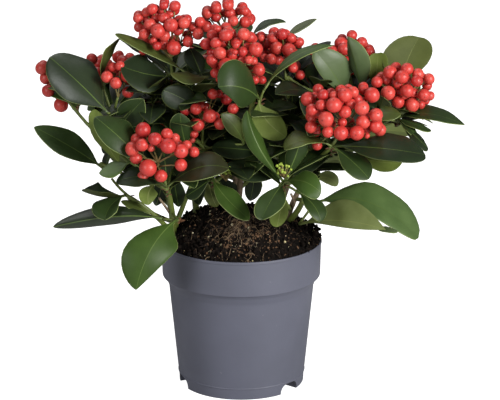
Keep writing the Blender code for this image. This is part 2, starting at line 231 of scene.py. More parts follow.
def make_mottle_group():
    """Two colours mixed by soft noise."""
    group, inside, outside = new_group(
        "Mottle",
        (
            ("Colour", "NodeSocketColor", (0.5, 0.5, 0.5, 1.0)),
            ("Second Colour", "NodeSocketColor", (0.3, 0.3, 0.3, 1.0)),
            ("Scale", "NodeSocketFloat", 40.0),
            ("Low", "NodeSocketFloat", 0.35),
            ("High", "NodeSocketFloat", 0.65),
        ),
        (("Colour", "NodeSocketColor"), ("Mask", "NodeSocketFloat")),
    )
    nodes = group.nodes
    links = group.links
    place = nodes.new("ShaderNodeTexCoord")
    pattern = nodes.new("ShaderNodeTexNoise")
    pattern.inputs["Detail"].default_value = 4.0
    spread = nodes.new("ShaderNodeMapRange")
    mix = nodes.new("ShaderNodeMix")
    mix.data_type = "RGBA"
    links.new(place.outputs["Object"], pattern.inputs["Vector"])
    links.new(inside.outputs["Scale"], pattern.inputs["Scale"])
    links.new(pattern.outputs["Fac"], spread.inputs["Value"])
    links.new(inside.outputs["Low"], spread.inputs["From Min"])
    links.new(inside.outputs["High"], spread.inputs["From Max"])
    links.new(spread.outputs["Result"], mix.inputs["Factor"])
    links.new(inside.outputs["Colour"], mix.inputs["A"])
    links.new(inside.outputs["Second Colour"], mix.inputs["B"])
    links.new(mix.outputs["Result"], outside.inputs["Colour"])
    links.new(spread.outputs["Result"], outside.inputs["Mask"])
    return group


def make_relief_group():
    """Fine relief from noise, as a normal."""
    group, inside, outside = new_group(
        "Relief",
        (
            ("Scale", "NodeSocketFloat", 400.0),
            ("Strength", "NodeSocketFloat", 0.2),
            ("Height", "NodeSocketFloat", 0.0005),
        ),
        (("Normal", "NodeSocketVector"),),
    )
    nodes = group.nodes
    links = group.links
    place = nodes.new("ShaderNodeTexCoord")
    pattern = nodes.new("ShaderNodeTexNoise")
    pattern.inputs["Detail"].default_value = 5.0
    bump = nodes.new("ShaderNodeBump")
    links.new(place.outputs["Object"], pattern.inputs["Vector"])
    links.new(inside.outputs["Scale"], pattern.inputs["Scale"])
    links.new(pattern.outputs["Fac"], bump.inputs["Height"])
    links.new(inside.outputs["Strength"], bump.inputs["Strength"])
    links.new(inside.outputs["Height"], bump.inputs["Distance"])
    links.new(bump.outputs["Normal"], outside.inputs["Normal"])
    return group


MOTTLE = make_mottle_group()
RELIEF = make_relief_group()


class Look(NamedTuple):
    """A finish: two colours mixed by noise, with a roughness and a fine relief."""

    colour: tuple
    second: tuple
    roughness: float
    scale: float = 60.0
    relief: float = 0.15
    relief_scale: float = 900.0
    relief_height: float = 0.0004
    specular: float = 0.5
    subsurface: float = 0.0


def leaf_look(colour, second, roughness, specular):
    """A leaf's leathery upper face."""
    return Look(tone(*colour), tone(*second), roughness, 60.0, 0.22, 420.0, specular=specular)


def berry_look(colour, second):
    """A berry's satin skin."""
    return Look(tone(*colour), tone(*second), 0.41, 90.0, 0.05, 500.0, 0.0003, 0.5, 0.10)


LOOKS = {
    "leaf_dark": leaf_look((34, 46, 26), (28, 38, 22), 0.42, 0.20),
    "leaf_deep": leaf_look((45, 62, 29), (38, 53, 24), 0.44, 0.22),
    "leaf_gloss": leaf_look((38, 50, 28), (32, 43, 24), 0.38, 0.55),
    "leaf_mid": leaf_look((57, 79, 31), (49, 69, 25), 0.45, 0.20),
    "leaf_fresh": leaf_look((77, 98, 54), (67, 88, 46), 0.40, 0.30),
    # Lighter grey-green upper face: painted sheen, a lit copy of the leaf colour standing for the shine that
    # some leaves catch
    "leaf_painted_sheen": leaf_look((86, 102, 68), (76, 92, 58), 0.42, 0.30),
    "leaf_olive": leaf_look((72, 82, 38), (60, 70, 30), 0.42, 0.28),
    "leaf_bronze": leaf_look((45, 46, 26), (37, 40, 22), 0.42, 0.25),
    "under_sage": Look(tone(104, 114, 68), tone(92, 102, 56), 0.6, specular=0.15),
    "under_olive": Look(tone(80, 88, 43), tone(70, 78, 36), 0.6, specular=0.15),
    "under_bright": Look(tone(100, 114, 52), tone(88, 102, 44), 0.6, specular=0.15),
    "under_rib": Look(tone(120, 128, 70), tone(110, 118, 62), 0.55, specular=0.25),
    "leaf_margin": Look(tone(124, 136, 82), tone(104, 118, 64), 0.45, specular=0.30),
    "leaf_rib": Look(tone(86, 106, 50), tone(74, 92, 42), 0.42, specular=0.30),
    "berry_red": berry_look((196, 62, 54), (186, 52, 46)),
    "berry_bright": berry_look((204, 74, 64), (195, 64, 55)),
    "berry_deep": berry_look((184, 48, 44), (172, 40, 38)),
    "berry_scar": Look(tone(150, 44, 36), tone(120, 34, 28), 0.7),
    "pedicel": Look(tone(118, 116, 62), tone(132, 104, 64), 0.6),
    "bract": Look(tone(112, 74, 46), tone(78, 50, 32), 0.7),
    "bud": Look(tone(160, 178, 70), tone(136, 158, 56), 0.5),
    "shoot_green": Look(tone(98, 112, 46), tone(82, 92, 38), 0.55, 70.0, 0.4, 700.0),
    "wood_brown": Look(tone(134, 116, 92), tone(88, 72, 56), 0.8, 120.0, 0.7, 500.0, 0.001),
    "soil_dark": Look(tone(21, 17, 14), tone(10, 8, 7), 0.95, 300.0, 0.9, 900.0, 0.001, specular=0.1),
    "crumb_dark": Look(tone(30, 23, 19), tone(12, 10, 8), 0.95, 400.0, 0.8, 1200.0, 0.0008, specular=0.1),
    "crumb_brown": Look(tone(126, 96, 72), tone(76, 58, 44), 0.95, 400.0, 0.8, 1200.0, 0.0008, specular=0.1),
    "fibre_tan": Look(tone(138, 114, 86), tone(100, 82, 62), 0.9),
    "fibre_brown": Look(tone(76, 60, 48), tone(50, 40, 32), 0.9),
    "grit_pale": Look(tone(214, 204, 172), tone(182, 166, 120), 0.8),
}


def fill(node, values):
    """Set a node's inputs by name."""
    for name, value in values.items():
        node.inputs[name].default_value = value


def add_group(nodes, group, values):
    """Add a shader group with its inputs set."""
    node = nodes.new("ShaderNodeGroup")
    node.node_tree = group
    fill(node, values)
    return node


def new_material(name):
    """A material with its nodes, its links and its Principled shader."""
    material = bpy.data.materials.new(name)
    material.use_nodes = True
    nodes = material.node_tree.nodes
    return material, nodes, material.node_tree.links, nodes["Principled BSDF"]


def make_material(name, look):
    """A Principled material from a look."""
    material, nodes, links, shader = new_material(name)
    fill(shader, {
        "Roughness": look.roughness,
        "Specular IOR Level": look.specular,
        "Subsurface Weight": look.subsurface,
        "Subsurface Radius": (0.004, 0.001, 0.0006),
        "Subsurface Scale": 1.0,
    })
    mottle = add_group(nodes, MOTTLE, {
        "Colour": look.colour, "Second Colour": look.second, "Scale": look.scale,
    })
    relief = add_group(nodes, RELIEF, {
        "Scale": look.relief_scale, "Strength": look.relief, "Height": look.relief_height,
    })
    links.new(mottle.outputs["Colour"], shader.inputs["Base Color"])
    links.new(relief.outputs["Normal"], shader.inputs["Normal"])
    return material


MATERIALS = {name: make_material(name, look) for name, look in LOOKS.items()}


def make_pot_material():
    """Blue-grey moulded plastic with a fine grain, pale scuffs and a little dust."""
    material, nodes, links, shader = new_material("pot_plastic")
    body = add_group(nodes, MOTTLE, {
        "Colour": tone(88, 90, 104), "Second Colour": tone(82, 84, 97), "Scale": 18.0,
    })
    marks = add_group(nodes, MOTTLE, {
        "Second Colour": tone(116, 116, 126), "Scale": 190.0, "Low": 0.72, "High": 0.80,
    })
    worn = nodes.new("ShaderNodeMapRange")
    fill(worn, {"To Min": 0.46, "To Max": 0.60})
    relief = add_group(nodes, RELIEF, {"Scale": 1400.0, "Strength": 0.12, "Height": 0.0003})
    links.new(body.outputs["Colour"], marks.inputs["Colour"])
    links.new(marks.outputs["Colour"], shader.inputs["Base Color"])
    links.new(body.outputs["Mask"], worn.inputs["Value"])
    links.new(worn.outputs["Result"], shader.inputs["Roughness"])
    links.new(relief.outputs["Normal"], shader.inputs["Normal"])
    return material


# Pieces


def deselect():
    """Leave nothing selected before an operator runs."""
    bpy.ops.object.select_all(action="DESELECT")


def place_piece(item, nodes=()):
    """Ride the model's one body and stand for model nodes."""
    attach(item, "root")
    if nodes:
        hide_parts(*nodes)


class Joined:
    """Many small shapes gathered into one mesh, each face with its own look."""

    def __init__(self, name, looks):
        self.name = name
        self.looks = list(looks)
        self.points = []
        self.faces = []
        self.slots = []
        self.count = 0

    def add(self, points, faces, slots):
        """Add a shape. slots holds a look's number for each face."""
        offset = self.count
        self.points.append(np.asarray(points, dtype=float))
        self.faces.extend(tuple(index + offset for index in face) for face in faces)
        self.slots.extend(slots)
        self.count += len(points)

    def make(self, slot, nodes=(), smooth=True):
        """Make the piece."""
        mesh = bpy.data.meshes.new(self.name)
        mesh.from_pydata(np.concatenate(self.points).tolist(), [], self.faces)
        for look in self.looks:
            mesh.materials.append(MATERIALS[look])
        mesh.polygons.foreach_set("material_index", self.slots)
        mesh.polygons.foreach_set("use_smooth", [smooth] * len(self.faces))
        mesh.update()
        item = bpy.data.objects.new(self.name, mesh)
        bpy.context.scene.collection.objects.link(item)
        place_piece(item, nodes)
        return item


def across_frame(direction):
    """Two unit vectors across a direction."""
    helper = Vector((0.0, 0.0, 1.0)) if abs(direction.z) < 0.9 else Vector((1.0, 0.0, 0.0))
    side = direction.cross(helper).normalized()
    return side, side.cross(direction).normalized()


def tube(path, radii, sides, relief=None):
    """Points and faces of a closed round tube along a path. relief(ring, side) scales its radius."""
    points = []
    side = None
    for ring, centre in enumerate(path):
        ahead = path[min(ring + 1, len(path) - 1)]
        behind = path[max(ring - 1, 0)]
        direction = (ahead - behind).normalized()
        if side is None:
            side, _ = across_frame(direction)
        side = (side - direction * side.dot(direction)).normalized()
        other = direction.cross(side)
        for step in range(sides):
            angle = math.tau * step / sides
            radius = radii[ring] * (relief(ring, step) if relief else 1.0)
            points.append(centre + (side * math.cos(angle) + other * math.sin(angle)) * radius)
    faces = []
    for ring in range(len(path) - 1):
        for step in range(sides):
            following = (step + 1) % sides
            first = ring * sides
            second = first + sides
            faces.append((first + step, first + following, second + following, second + step))
    faces.append(tuple(reversed(range(sides))))
    last = (len(path) - 1) * sides
    faces.append(tuple(last + step for step in range(sides)))
    return points, faces


def bent(start, bend, end, rings):
    """Points along a curve from start to end that leans towards bend."""
    path = []
    for ring in range(rings):
        share = ring / (rings - 1)
        path.append(start * (1 - share) ** 2 + bend * 2 * share * (1 - share) + end * share ** 2)
    return path


# Pot


def turned(name, profile, sides):
    """A closed turned shape: a ring of edges, drawn out and resized along a profile."""
    deselect()
    radius, height = profile[0]
    bpy.ops.mesh.primitive_circle_add(
        vertices=sides, radius=radius, fill_type="NGON", location=(0.0, 0.0, height)
    )
    item = bpy.context.object
    item.name = name
    bpy.ops.object.mode_set(mode="EDIT")
    for next_radius, next_height in profile[1:]:
        bpy.ops.mesh.select_mode(type="EDGE")
        bpy.ops.mesh.extrude_edges_move(
            TRANSFORM_OT_translate={"value": (0.0, 0.0, next_height - height)}
        )
        factor = next_radius / radius
        bpy.ops.transform.resize(value=(factor, factor, 1.0), center_override=(0.0, 0.0, 0.0))
        radius, height = next_radius, next_height
    bpy.ops.mesh.edge_face_add()
    bpy.ops.mesh.select_all(action="SELECT")
    bpy.ops.mesh.normals_make_consistent(inside=False)
    bpy.ops.object.mode_set(mode="OBJECT")
    bpy.ops.object.transform_apply(location=True, rotation=True, scale=True)
    return item


def rounded(centre_radius, centre_height, rounding, start, end, steps=4):
    """Profile points round a corner, from a start angle to an end angle in degrees."""
    points = []
    for step in range(steps + 1):
        angle = math.radians(start + (end - start) * step / steps)
        points.append((
            centre_radius + rounding * math.cos(angle),
            centre_height + rounding * math.sin(angle),
        ))
    return points


def notch_cutter(bearing):
    """A rounded block across the pot's foot, at a bearing from the front."""
    angle = math.radians(bearing)
    deselect()
    bpy.ops.mesh.primitive_cube_add(
        size=1.0,
        location=(FOOT_RADIUS * math.sin(angle), -FOOT_RADIUS * math.cos(angle), 0.0),
        rotation=(0.0, 0.0, angle),
    )
    block = bpy.context.object
    block.scale = (NOTCH_WIDTH, NOTCH_DEPTH, 2.0 * NOTCH_HEIGHT)
    bpy.ops.object.transform_apply(location=True, rotation=True, scale=True)
    bevel = block.modifiers.new("Rounding", "BEVEL")
    bevel.width = NOTCH_ROUNDING
    bevel.segments = NOTCH_ROUNDING_STEPS
    bpy.ops.object.modifier_apply(modifier="Rounding")
    return block


def build_pot():
    """The pot with its rolled lip, rim band, foot step and notches."""
    inner_rim = RIM_RADIUS - WALL_THICKNESS
    lip_centre = POT_HEIGHT - RIM_ROUNDING
    profile = [
        (WALL_FOOT_RADIUS - WALL_THICKNESS - 0.004, FLOOR_THICKNESS),
        (WALL_FOOT_RADIUS - WALL_THICKNESS, FLOOR_THICKNESS + 0.0004),
        (WALL_TOP_RADIUS - WALL_THICKNESS, WALL_TOP_HEIGHT),
        (BAND_FOOT_RADIUS - WALL_THICKNESS, BAND_FOOT_HEIGHT),
    ]
    profile += rounded(inner_rim + RIM_ROUNDING, lip_centre, RIM_ROUNDING, 180.0, 90.0)
    profile += rounded(RIM_RADIUS - RIM_ROUNDING, lip_centre, RIM_ROUNDING, 90.0, 0.0)
    profile += [
        (RIM_RADIUS, POT_HEIGHT - 0.0020),
        (RIM_RADIUS - LIP_BEAD, POT_HEIGHT - 0.0024),
        (BAND_FOOT_RADIUS + 0.0001, BAND_FOOT_HEIGHT + 0.0030),
        (BAND_FOOT_RADIUS, BAND_FOOT_HEIGHT + 0.0006),
        (BAND_FOOT_RADIUS - 0.0003, BAND_FOOT_HEIGHT + 0.0001),
        (BAND_FOOT_RADIUS - 0.0020, BAND_FOOT_HEIGHT - 0.0001),
        (BAND_FOOT_RADIUS - 0.0030, BAND_FOOT_HEIGHT - 0.0008),
        (BAND_FOOT_RADIUS - 0.0033, BAND_FOOT_HEIGHT - 0.0020),
        (WALL_TOP_RADIUS + 0.0009, WALL_TOP_HEIGHT + 0.0022),
        (WALL_TOP_RADIUS + 0.0002, WALL_TOP_HEIGHT + 0.0004),
        (WALL_TOP_RADIUS - 0.0001, WALL_TOP_HEIGHT - 0.0010),
        (WALL_TOP_RADIUS - 0.0003, WALL_TOP_HEIGHT - 0.0035),
        (WALL_FOOT_RADIUS, FOOT_STEP_HEIGHT + 0.0010),
        (WALL_FOOT_RADIUS + FOOT_BEAD, FOOT_STEP_HEIGHT + 0.0005),
        (WALL_FOOT_RADIUS + FOOT_BEAD, FOOT_STEP_HEIGHT + 0.0001),
        (WALL_FOOT_RADIUS - FOOT_STEP_DEPTH, FOOT_STEP_HEIGHT - 0.0003),
    ]
    profile += rounded(FOOT_RADIUS - FOOT_ROUNDING, FOOT_ROUNDING, FOOT_ROUNDING, 0.0, -90.0)
    profile.append((FOOT_RADIUS - 0.006, 0.0))
    pot = turned("pot_body", profile, POT_SIDES)
    for bearing in NOTCH_BEARINGS:
        cutter = notch_cutter(bearing)
        deselect()
        pot.select_set(True)
        bpy.context.view_layer.objects.active = pot
        boolean = pot.modifiers.new("Notch", "BOOLEAN")
        boolean.operation = "DIFFERENCE"
        boolean.object = cutter
        bpy.ops.object.modifier_apply(modifier="Notch")
        bpy.data.objects.remove(cutter, do_unlink=True)
    deselect()
    pot.select_set(True)
    bpy.ops.object.shade_smooth_by_angle(angle=POT_CREASE)
    pot.data.materials.clear()
    pot.data.materials.append(make_pot_material())
    place_piece(pot, ["pot"])


# Soil


def soil_height(x, y):
    """Height of the soil's rough top at a place."""
    share = min(1.0, math.hypot(x, y) / SOIL_EDGE)
    back = max(0.0, math.cos(math.atan2(y, x) - SOIL_BACK_BEARING)) ** 1.5 * share
    edge = SOIL_EDGE_HEIGHT + SOIL_BACK_RISE * back
    smooth = edge + (SOIL_CROWN_HEIGHT - edge) * (1.0 - share ** SOIL_FLATNESS)
    rough = 0.0
    for rate, layer, height in SOIL_NOISE:
        rough += noise.noise(Vector((x * rate, y * rate, layer))) * height
    return smooth + rough * (1.0 - 0.5 * share ** 6) + SOIL_RISE


def build_soil_body():
    """The root ball with its rough top."""
    body = Joined("soil_body", ["soil_dark"])
    points = [(0.0, 0.0, soil_height(0.0, 0.0))]
    rings = [SOIL_EDGE * (ring / SOIL_RINGS) ** 0.8 for ring in range(1, SOIL_RINGS + 1)]
    below = [
        (SOIL_EDGE, SOIL_EDGE_HEIGHT - 0.004),
        (BAND_FOOT_RADIUS - WALL_THICKNESS - 0.0006, BAND_FOOT_HEIGHT),
        (WALL_TOP_RADIUS - WALL_THICKNESS - 0.0006, WALL_TOP_HEIGHT),
        (WALL_FOOT_RADIUS - WALL_THICKNESS - 0.0006, FLOOR_THICKNESS + 0.0006),
    ]
    for number in range(len(rings) + len(below)):
        for side in range(SOIL_SIDES):
            angle = math.tau * side / SOIL_SIDES
            if number < len(rings):
                x = rings[number] * math.cos(angle)
                y = rings[number] * math.sin(angle)
                points.append((x, y, soil_height(x, y)))
            else:
                radius, height = below[number - len(rings)]
                points.append((radius * math.cos(angle), radius * math.sin(angle), height))
    faces = [(0, 1 + side, 1 + (side + 1) % SOIL_SIDES) for side in range(SOIL_SIDES)]
    for ring in range(len(rings) + len(below) - 1):
        first = 1 + ring * SOIL_SIDES
        second = first + SOIL_SIDES
        for side in range(SOIL_SIDES):
            following = (side + 1) % SOIL_SIDES
            faces.append((first + side, second + side, second + following, first + following))
    last = 1 + (len(rings) + len(below) - 1) * SOIL_SIDES
    faces.append(tuple(last + side for side in reversed(range(SOIL_SIDES))))
    body.add(points, faces, [0] * len(faces))
    body.make("soil", ["soil"])


def build_crumbs(rng):
    """Crumbs of peat and grains of grit on the soil, and the clumps on the rim."""
    crumbs = Joined("soil_crumbs", ["crumb_dark", "crumb_brown", "grit_pale"])
    lump, lump_faces = ball_template(1)
    for number in range(CRUMBS + GRIT + RIM_CRUMBS):
        pale = CRUMBS <= number < CRUMBS + GRIT
        on_rim = number >= CRUMBS + GRIT
        radius = SOIL_EDGE * math.sqrt(rng.random()) * 1.005
        angle = rng.uniform(0.0, math.tau)
        size = CRUMB_SIZES[0] + CRUMB_SIZES[1] * rng.random() ** 3.0
        if pale:
            size = GRIT_SIZES[0] + GRIT_SIZES[1] * rng.random() ** 3.0
        if on_rim:
            radius = SOIL_EDGE * rng.uniform(0.95, 1.012)
            angle = math.radians(rng.gauss(RIM_CRUMB_BEARING, RIM_CRUMB_SPREAD))
        x = radius * math.cos(angle)
        y = radius * math.sin(angle)
        stretch = np.array([rng.uniform(0.6, 1.5), rng.uniform(0.6, 1.3), rng.uniform(0.5, 1.0)])
        jitter = np.array([[rng.uniform(0.75, 1.2)] for _ in lump])
        turn = np.array(Quaternion((
            rng.uniform(-1, 1), rng.uniform(-1, 1), rng.uniform(-1, 1), rng.uniform(-1, 1)
        )).normalized().to_matrix())
        height = soil_height(x, y) + size * rng.uniform(0.0, 0.6)
        if on_rim:
            height += RIM_CRUMB_RISE * rng.random() ** 1.5
        points = (lump * jitter * stretch * size) @ turn.T + np.array([x, y, height])
        aside = (x - BROWN_PATCH[0]) / BROWN_PATCH_REACH[0]
        ahead = (y - BROWN_PATCH[1]) / BROWN_PATCH_REACH[1]
        front = math.exp(-(aside ** 2) - ahead ** 2)
        brown = size < LARGEST_BROWN_CRUMB and rng.random() < BROWN_SHARE + BROWN_PATCH_SHARE * front
        look = 2 if pale else (1 if brown else 0)
        crumbs.add(points, lump_faces, [look] * len(lump_faces))
    crumbs.make("soil", smooth=False)


def build_fibres(rng):
    """Curled fibres on the soil, the first of them in a tangle at the front."""
    fibres = Joined("soil_fibres", ["fibre_tan", "fibre_brown"])
    for number in range(FIBRES):
        radius = SOIL_EDGE * math.sqrt(rng.random()) * 0.97
        angle = rng.uniform(0.0, math.tau)
        tangled = number < FIBRES * TANGLED_SHARE
        if tangled:
            angle = rng.gauss(TANGLE_BEARING, 0.35)
            radius = SOIL_EDGE * min(0.95, max(0.1, rng.gauss(0.62, 0.18)))
        heading = rng.uniform(0.0, math.tau)
        length = rng.uniform(*FIBRE_LENGTHS)
        curl = rng.uniform(-FIBRE_CURL, FIBRE_CURL)
        thick = FIBRE_HALF_WIDTHS[0] + FIBRE_HALF_WIDTHS[1] * rng.random() ** 2.0
        spot = Vector((radius * math.cos(angle), radius * math.sin(angle), 0.0))
        path = []
        rise = rng.uniform(0.0, 0.003)
        for step in range(FIBRE_STEPS):
            share = step / (FIBRE_STEPS - 1)
            path.append(Vector((spot.x, spot.y, 0.0)))
            spot += Vector((math.cos(heading), math.sin(heading), 0.0)) * (length / FIBRE_STEPS)
            heading += curl / FIBRE_STEPS + rng.uniform(-0.25, 0.25)
            reach = math.hypot(spot.x, spot.y)
            if reach > SOIL_EDGE:
                spot *= SOIL_EDGE / reach
            path[-1].z = soil_height(path[-1].x, path[-1].y) + 0.0005 + rise * math.sin(math.pi * share)
        points, faces = tube(path, [thick] * FIBRE_STEPS, FIBRE_SIDES)
        look = 0 if rng.random() < (TANGLE_TAN_SHARE if tangled else TAN_SHARE) else 1
        fibres.add([tuple(point) for point in points], faces, [look] * len(faces))
    fibres.make("soil")


def build_soil(rng):
    """The root ball, and the crumbs, fibres and grit on it."""
    build_soil_body()
    build_crumbs(rng)
    build_fibres(rng)


def ball_template(subdivisions):
    """Points and faces of a small round shape of radius 1."""
    deselect()
    bpy.ops.mesh.primitive_ico_sphere_add(subdivisions=subdivisions, radius=1.0)
    item = bpy.context.object
    points = np.array([tuple(vertex.co) for vertex in item.data.vertices])
    faces = [tuple(face.vertices) for face in item.data.polygons]
    bpy.data.objects.remove(item, do_unlink=True)
    return points, faces


# Limbs

STEMS = {
    "stem_left": ((-0.054, -0.008), (-0.061, -0.050, 0.186)),
    "stem_back_left": ((-0.036, 0.022), (-0.062, 0.006, 0.252)),
    "stem_centre": ((-0.003, 0.004), (0.010, -0.024, 0.243)),
    "stem_right": ((0.035, -0.006), (0.070, -0.052, 0.210)),
    "stem_back_right": ((0.030, 0.026), (0.084, 0.044, 0.244)),
    "stem_back": ((-0.004, 0.040), (-0.008, 0.088, 0.208)),
}

BOUGHS = {
    "bough_hanging": ("stem_left", 0.36, (-0.050, -0.050, 0.150)),
    "bough_low_left": ("stem_left", 0.22, (-0.085, -0.022, 0.158)),
    "bough_left": ("stem_left", 0.46, (-0.100, -0.004, 0.214)),
    "bough_left_lance": ("bough_left", 0.34, (-0.112, -0.004, 0.184)),
    "bough_far_left": ("bough_left", 0.52, (-0.137, 0.000, 0.234)),
    "bough_back_left": ("stem_back_left", 0.34, (-0.084, 0.060, 0.216)),
    "bough_centre_left": ("stem_centre", 0.30, (-0.034, -0.014, 0.204)),
    "bough_top_centre": ("stem_centre", 0.55, (-0.014, 0.032, 0.266)),
    "bough_heart": ("stem_centre", 0.20, (0.020, 0.012, 0.184)),
    "bough_middle": ("stem_centre", 0.12, (-0.020, -0.028, 0.176)),
    "bough_centre_low": ("stem_right", 0.18, (0.030, -0.046, 0.176)),
    "bough_right_low": ("stem_right", 0.30, (0.059, -0.027, 0.157)),
    "bough_crown_right": ("stem_back_right", 0.30, (0.037, 0.014, 0.250)),
    "bough_right": ("stem_back_right", 0.42, (0.124, 0.000, 0.222)),
    "bough_back_right_low": ("stem_back_right", 0.20, (0.074, 0.082, 0.192)),
    "bough_back_low_left": ("stem_back", 0.26, (-0.050, 0.080, 0.168)),
    "bough_back_low_right": ("stem_back", 0.44, (0.028, 0.100, 0.162)),
}
WOODY = ("stem_centre", "stem_right", "stem_back", "stem_back_right")


def eased(start, tip, ease):
    """A limb's smooth path, which bends once on its way to its tip."""
    across, upward = ease
    way = tip - start
    return bent(start, start + Vector((way.x * across, way.y * across, way.z * upward)), tip, LIMB_RINGS)


def limb_relief(rng, woody):
    """A bark's relief: long ridges and swollen leaf scars. Returns relief(ring, side)."""
    phase = rng.uniform(0.0, 10.0)
    depth = 0.10 if woody else 0.04
    spacing = rng.randint(5, 8)

    def relief(ring, side):
        angle = math.tau * side / LIMB_SIDES
        ridge = noise.noise(Vector((math.cos(angle) * 2.4, math.sin(angle) * 2.4, ring * 0.35 + phase)))
        scar = 0.14 if ring % spacing == 0 else 0.0
        return 1.0 + depth * ridge * 2.0 + scar * (0.5 + 0.5 * math.cos(angle + ring))

    return relief


def build_limbs(rng):
    """Every stem and bough as a tapering tube. Returns each limb's path."""
    paths = {}
    radii = {}
    looks = ["shoot_green", "wood_brown"]
    stems = Joined("stems", looks)
    boughs = Joined("boughs", looks)
    for name, (foot, tip) in STEMS.items():
        start = Vector((*foot, soil_height(*foot) - 0.004))
        paths[name] = eased(start, Vector(tip), STEM_EASE)
        radii[name] = STEM_RADII
    for name, (carrier, share, tip) in BOUGHS.items():
        carrier_path = paths[carrier]
        start = carrier_path[round(share * (LIMB_RINGS - 1))]
        paths[name] = eased(start, Vector(tip), BOUGH_EASE)
        foot_radius, tip_radius = radii[carrier]
        most = BOUGH_SHARE_OF_CARRIER * (foot_radius + (tip_radius - foot_radius) * share)
        foot_radius = min(BOUGH_RADII[0], most)
        radii[name] = (foot_radius, min(BOUGH_RADII[1], foot_radius))
    for name, path in paths.items():
        foot_radius, tip_radius = radii[name]
        widths = []
        for ring in range(LIMB_RINGS):
            share = ring / (LIMB_RINGS - 1)
            flare = 1.0 + (ROOT_FLARE - 1.0) * max(0.0, 1.0 - share * 8.0) * (name in STEMS)
            widths.append((foot_radius + (tip_radius - foot_radius) * share) * flare)
        woody = name in WOODY
        points, faces = tube(path, widths, LIMB_SIDES, limb_relief(rng, woody))
        target = stems if name in STEMS else boughs
        slots = []
        for face in range(len(faces)):
            ring = face // LIMB_SIDES
            slots.append(1 if woody and ring < LIMB_RINGS * 0.55 else 0)
        target.add([tuple(point) for point in points], faces, slots)
    stems.make("bark", list(STEMS))
    boughs.make("bark", list(BOUGHS))
    return paths


# Leaves

UPPER_LOOKS = (
    "leaf_dark", "leaf_deep", "leaf_gloss", "leaf_mid", "leaf_fresh", "leaf_painted_sheen", "leaf_olive",
    "leaf_bronze",
)
UNDER_LOOKS = ("under_sage", "under_olive", "under_bright")
LEAF_LOOKS = UPPER_LOOKS + UNDER_LOOKS + ("leaf_margin", "leaf_rib", "under_rib", "bract")
SHADES = {
    "dark": ("leaf_dark", "under_olive"),
    "deep": ("leaf_deep", "under_sage"),
    "gloss": ("leaf_gloss", "under_sage"),
    "mid": ("leaf_mid", "under_sage"),
    "fresh": ("leaf_fresh", "under_bright"),
    # The pale shade deals out the painted sheen look: a lighter upper face standing for shine
    "pale": ("leaf_painted_sheen", "under_sage"),
    "olive": ("leaf_olive", "under_olive"),
    "bronze": ("leaf_bronze", "under_olive"),
    "bright": ("leaf_olive", "under_bright"),
    "bract": ("bract", "bract"),
}


class Leaf(NamedTuple):
    """A leaf that shows.

    Each point is a column, a row and a depth in the photograph: the middle of the midrib, the tip,
    and the left and right edge beside that middle, as seen from above the upper face, looking
    towards the tip. A greater point draws the tip out finer, and a greater shoulder the base.
    """

    middle: tuple
    tip: tuple
    left: tuple
    right: tuple
    shade: str = "deep"
    point: float = 0.62
    base: tuple = ()
    shoulder: float = LEAF_SHOULDER


def leaf_outline(share, point, shoulder):
    """A leaf's half width at a share of its length, from 0 to 1 at its widest."""
    if share <= PETIOLE_END:
        return 0.0
    if share <= LEAF_WIDEST:
        rise = (share - PETIOLE_END) / (LEAF_WIDEST - PETIOLE_END)
        return math.sin(math.pi / 2.0 * rise ** shoulder)
    return (1.0 - ((share - LEAF_WIDEST) / (1.0 - LEAF_WIDEST)) ** 2) ** point


def leaf_faces():
    """Faces of the leaf's grid and the kind of each: upper, under, margin or rib."""
    rows = len(LEAF_ROWS)
    grid = rows * LEAF_COLUMNS
    last_column = LEAF_COLUMNS - 1
    middle = LEAF_COLUMNS // 2 - 1
    faces = []
    kinds = []
    for row in range(rows - 1):
        for column in range(last_column):
            first = row * LEAF_COLUMNS + column
            second = first + LEAF_COLUMNS
            faces.append((first, second, second + 1, first + 1))
            faces.append((grid + first, grid + first + 1, grid + second + 1, grid + second))
            edge = column in (0, last_column - 1)
            kinds.append("margin" if edge else ("rib" if column == middle else "upper"))
            kinds.append("keel" if column == middle else "under")
        first = row * LEAF_COLUMNS
        second = first + LEAF_COLUMNS
        faces.append((first, grid + first, grid + second, second))
        first += last_column
        second += last_column
        faces.append((second, grid + second, grid + first, first))
        kinds += ["margin", "margin"]
    for column in range(last_column):
        end = (rows - 1) * LEAF_COLUMNS + column
        faces.append((column + 1, grid + column + 1, grid + column, column))
        faces.append((end, grid + end, grid + end + 1, end + 1))
        kinds += ["rib", "margin"]
    return faces, kinds


LEAF_FACES, LEAF_KINDS = leaf_faces()


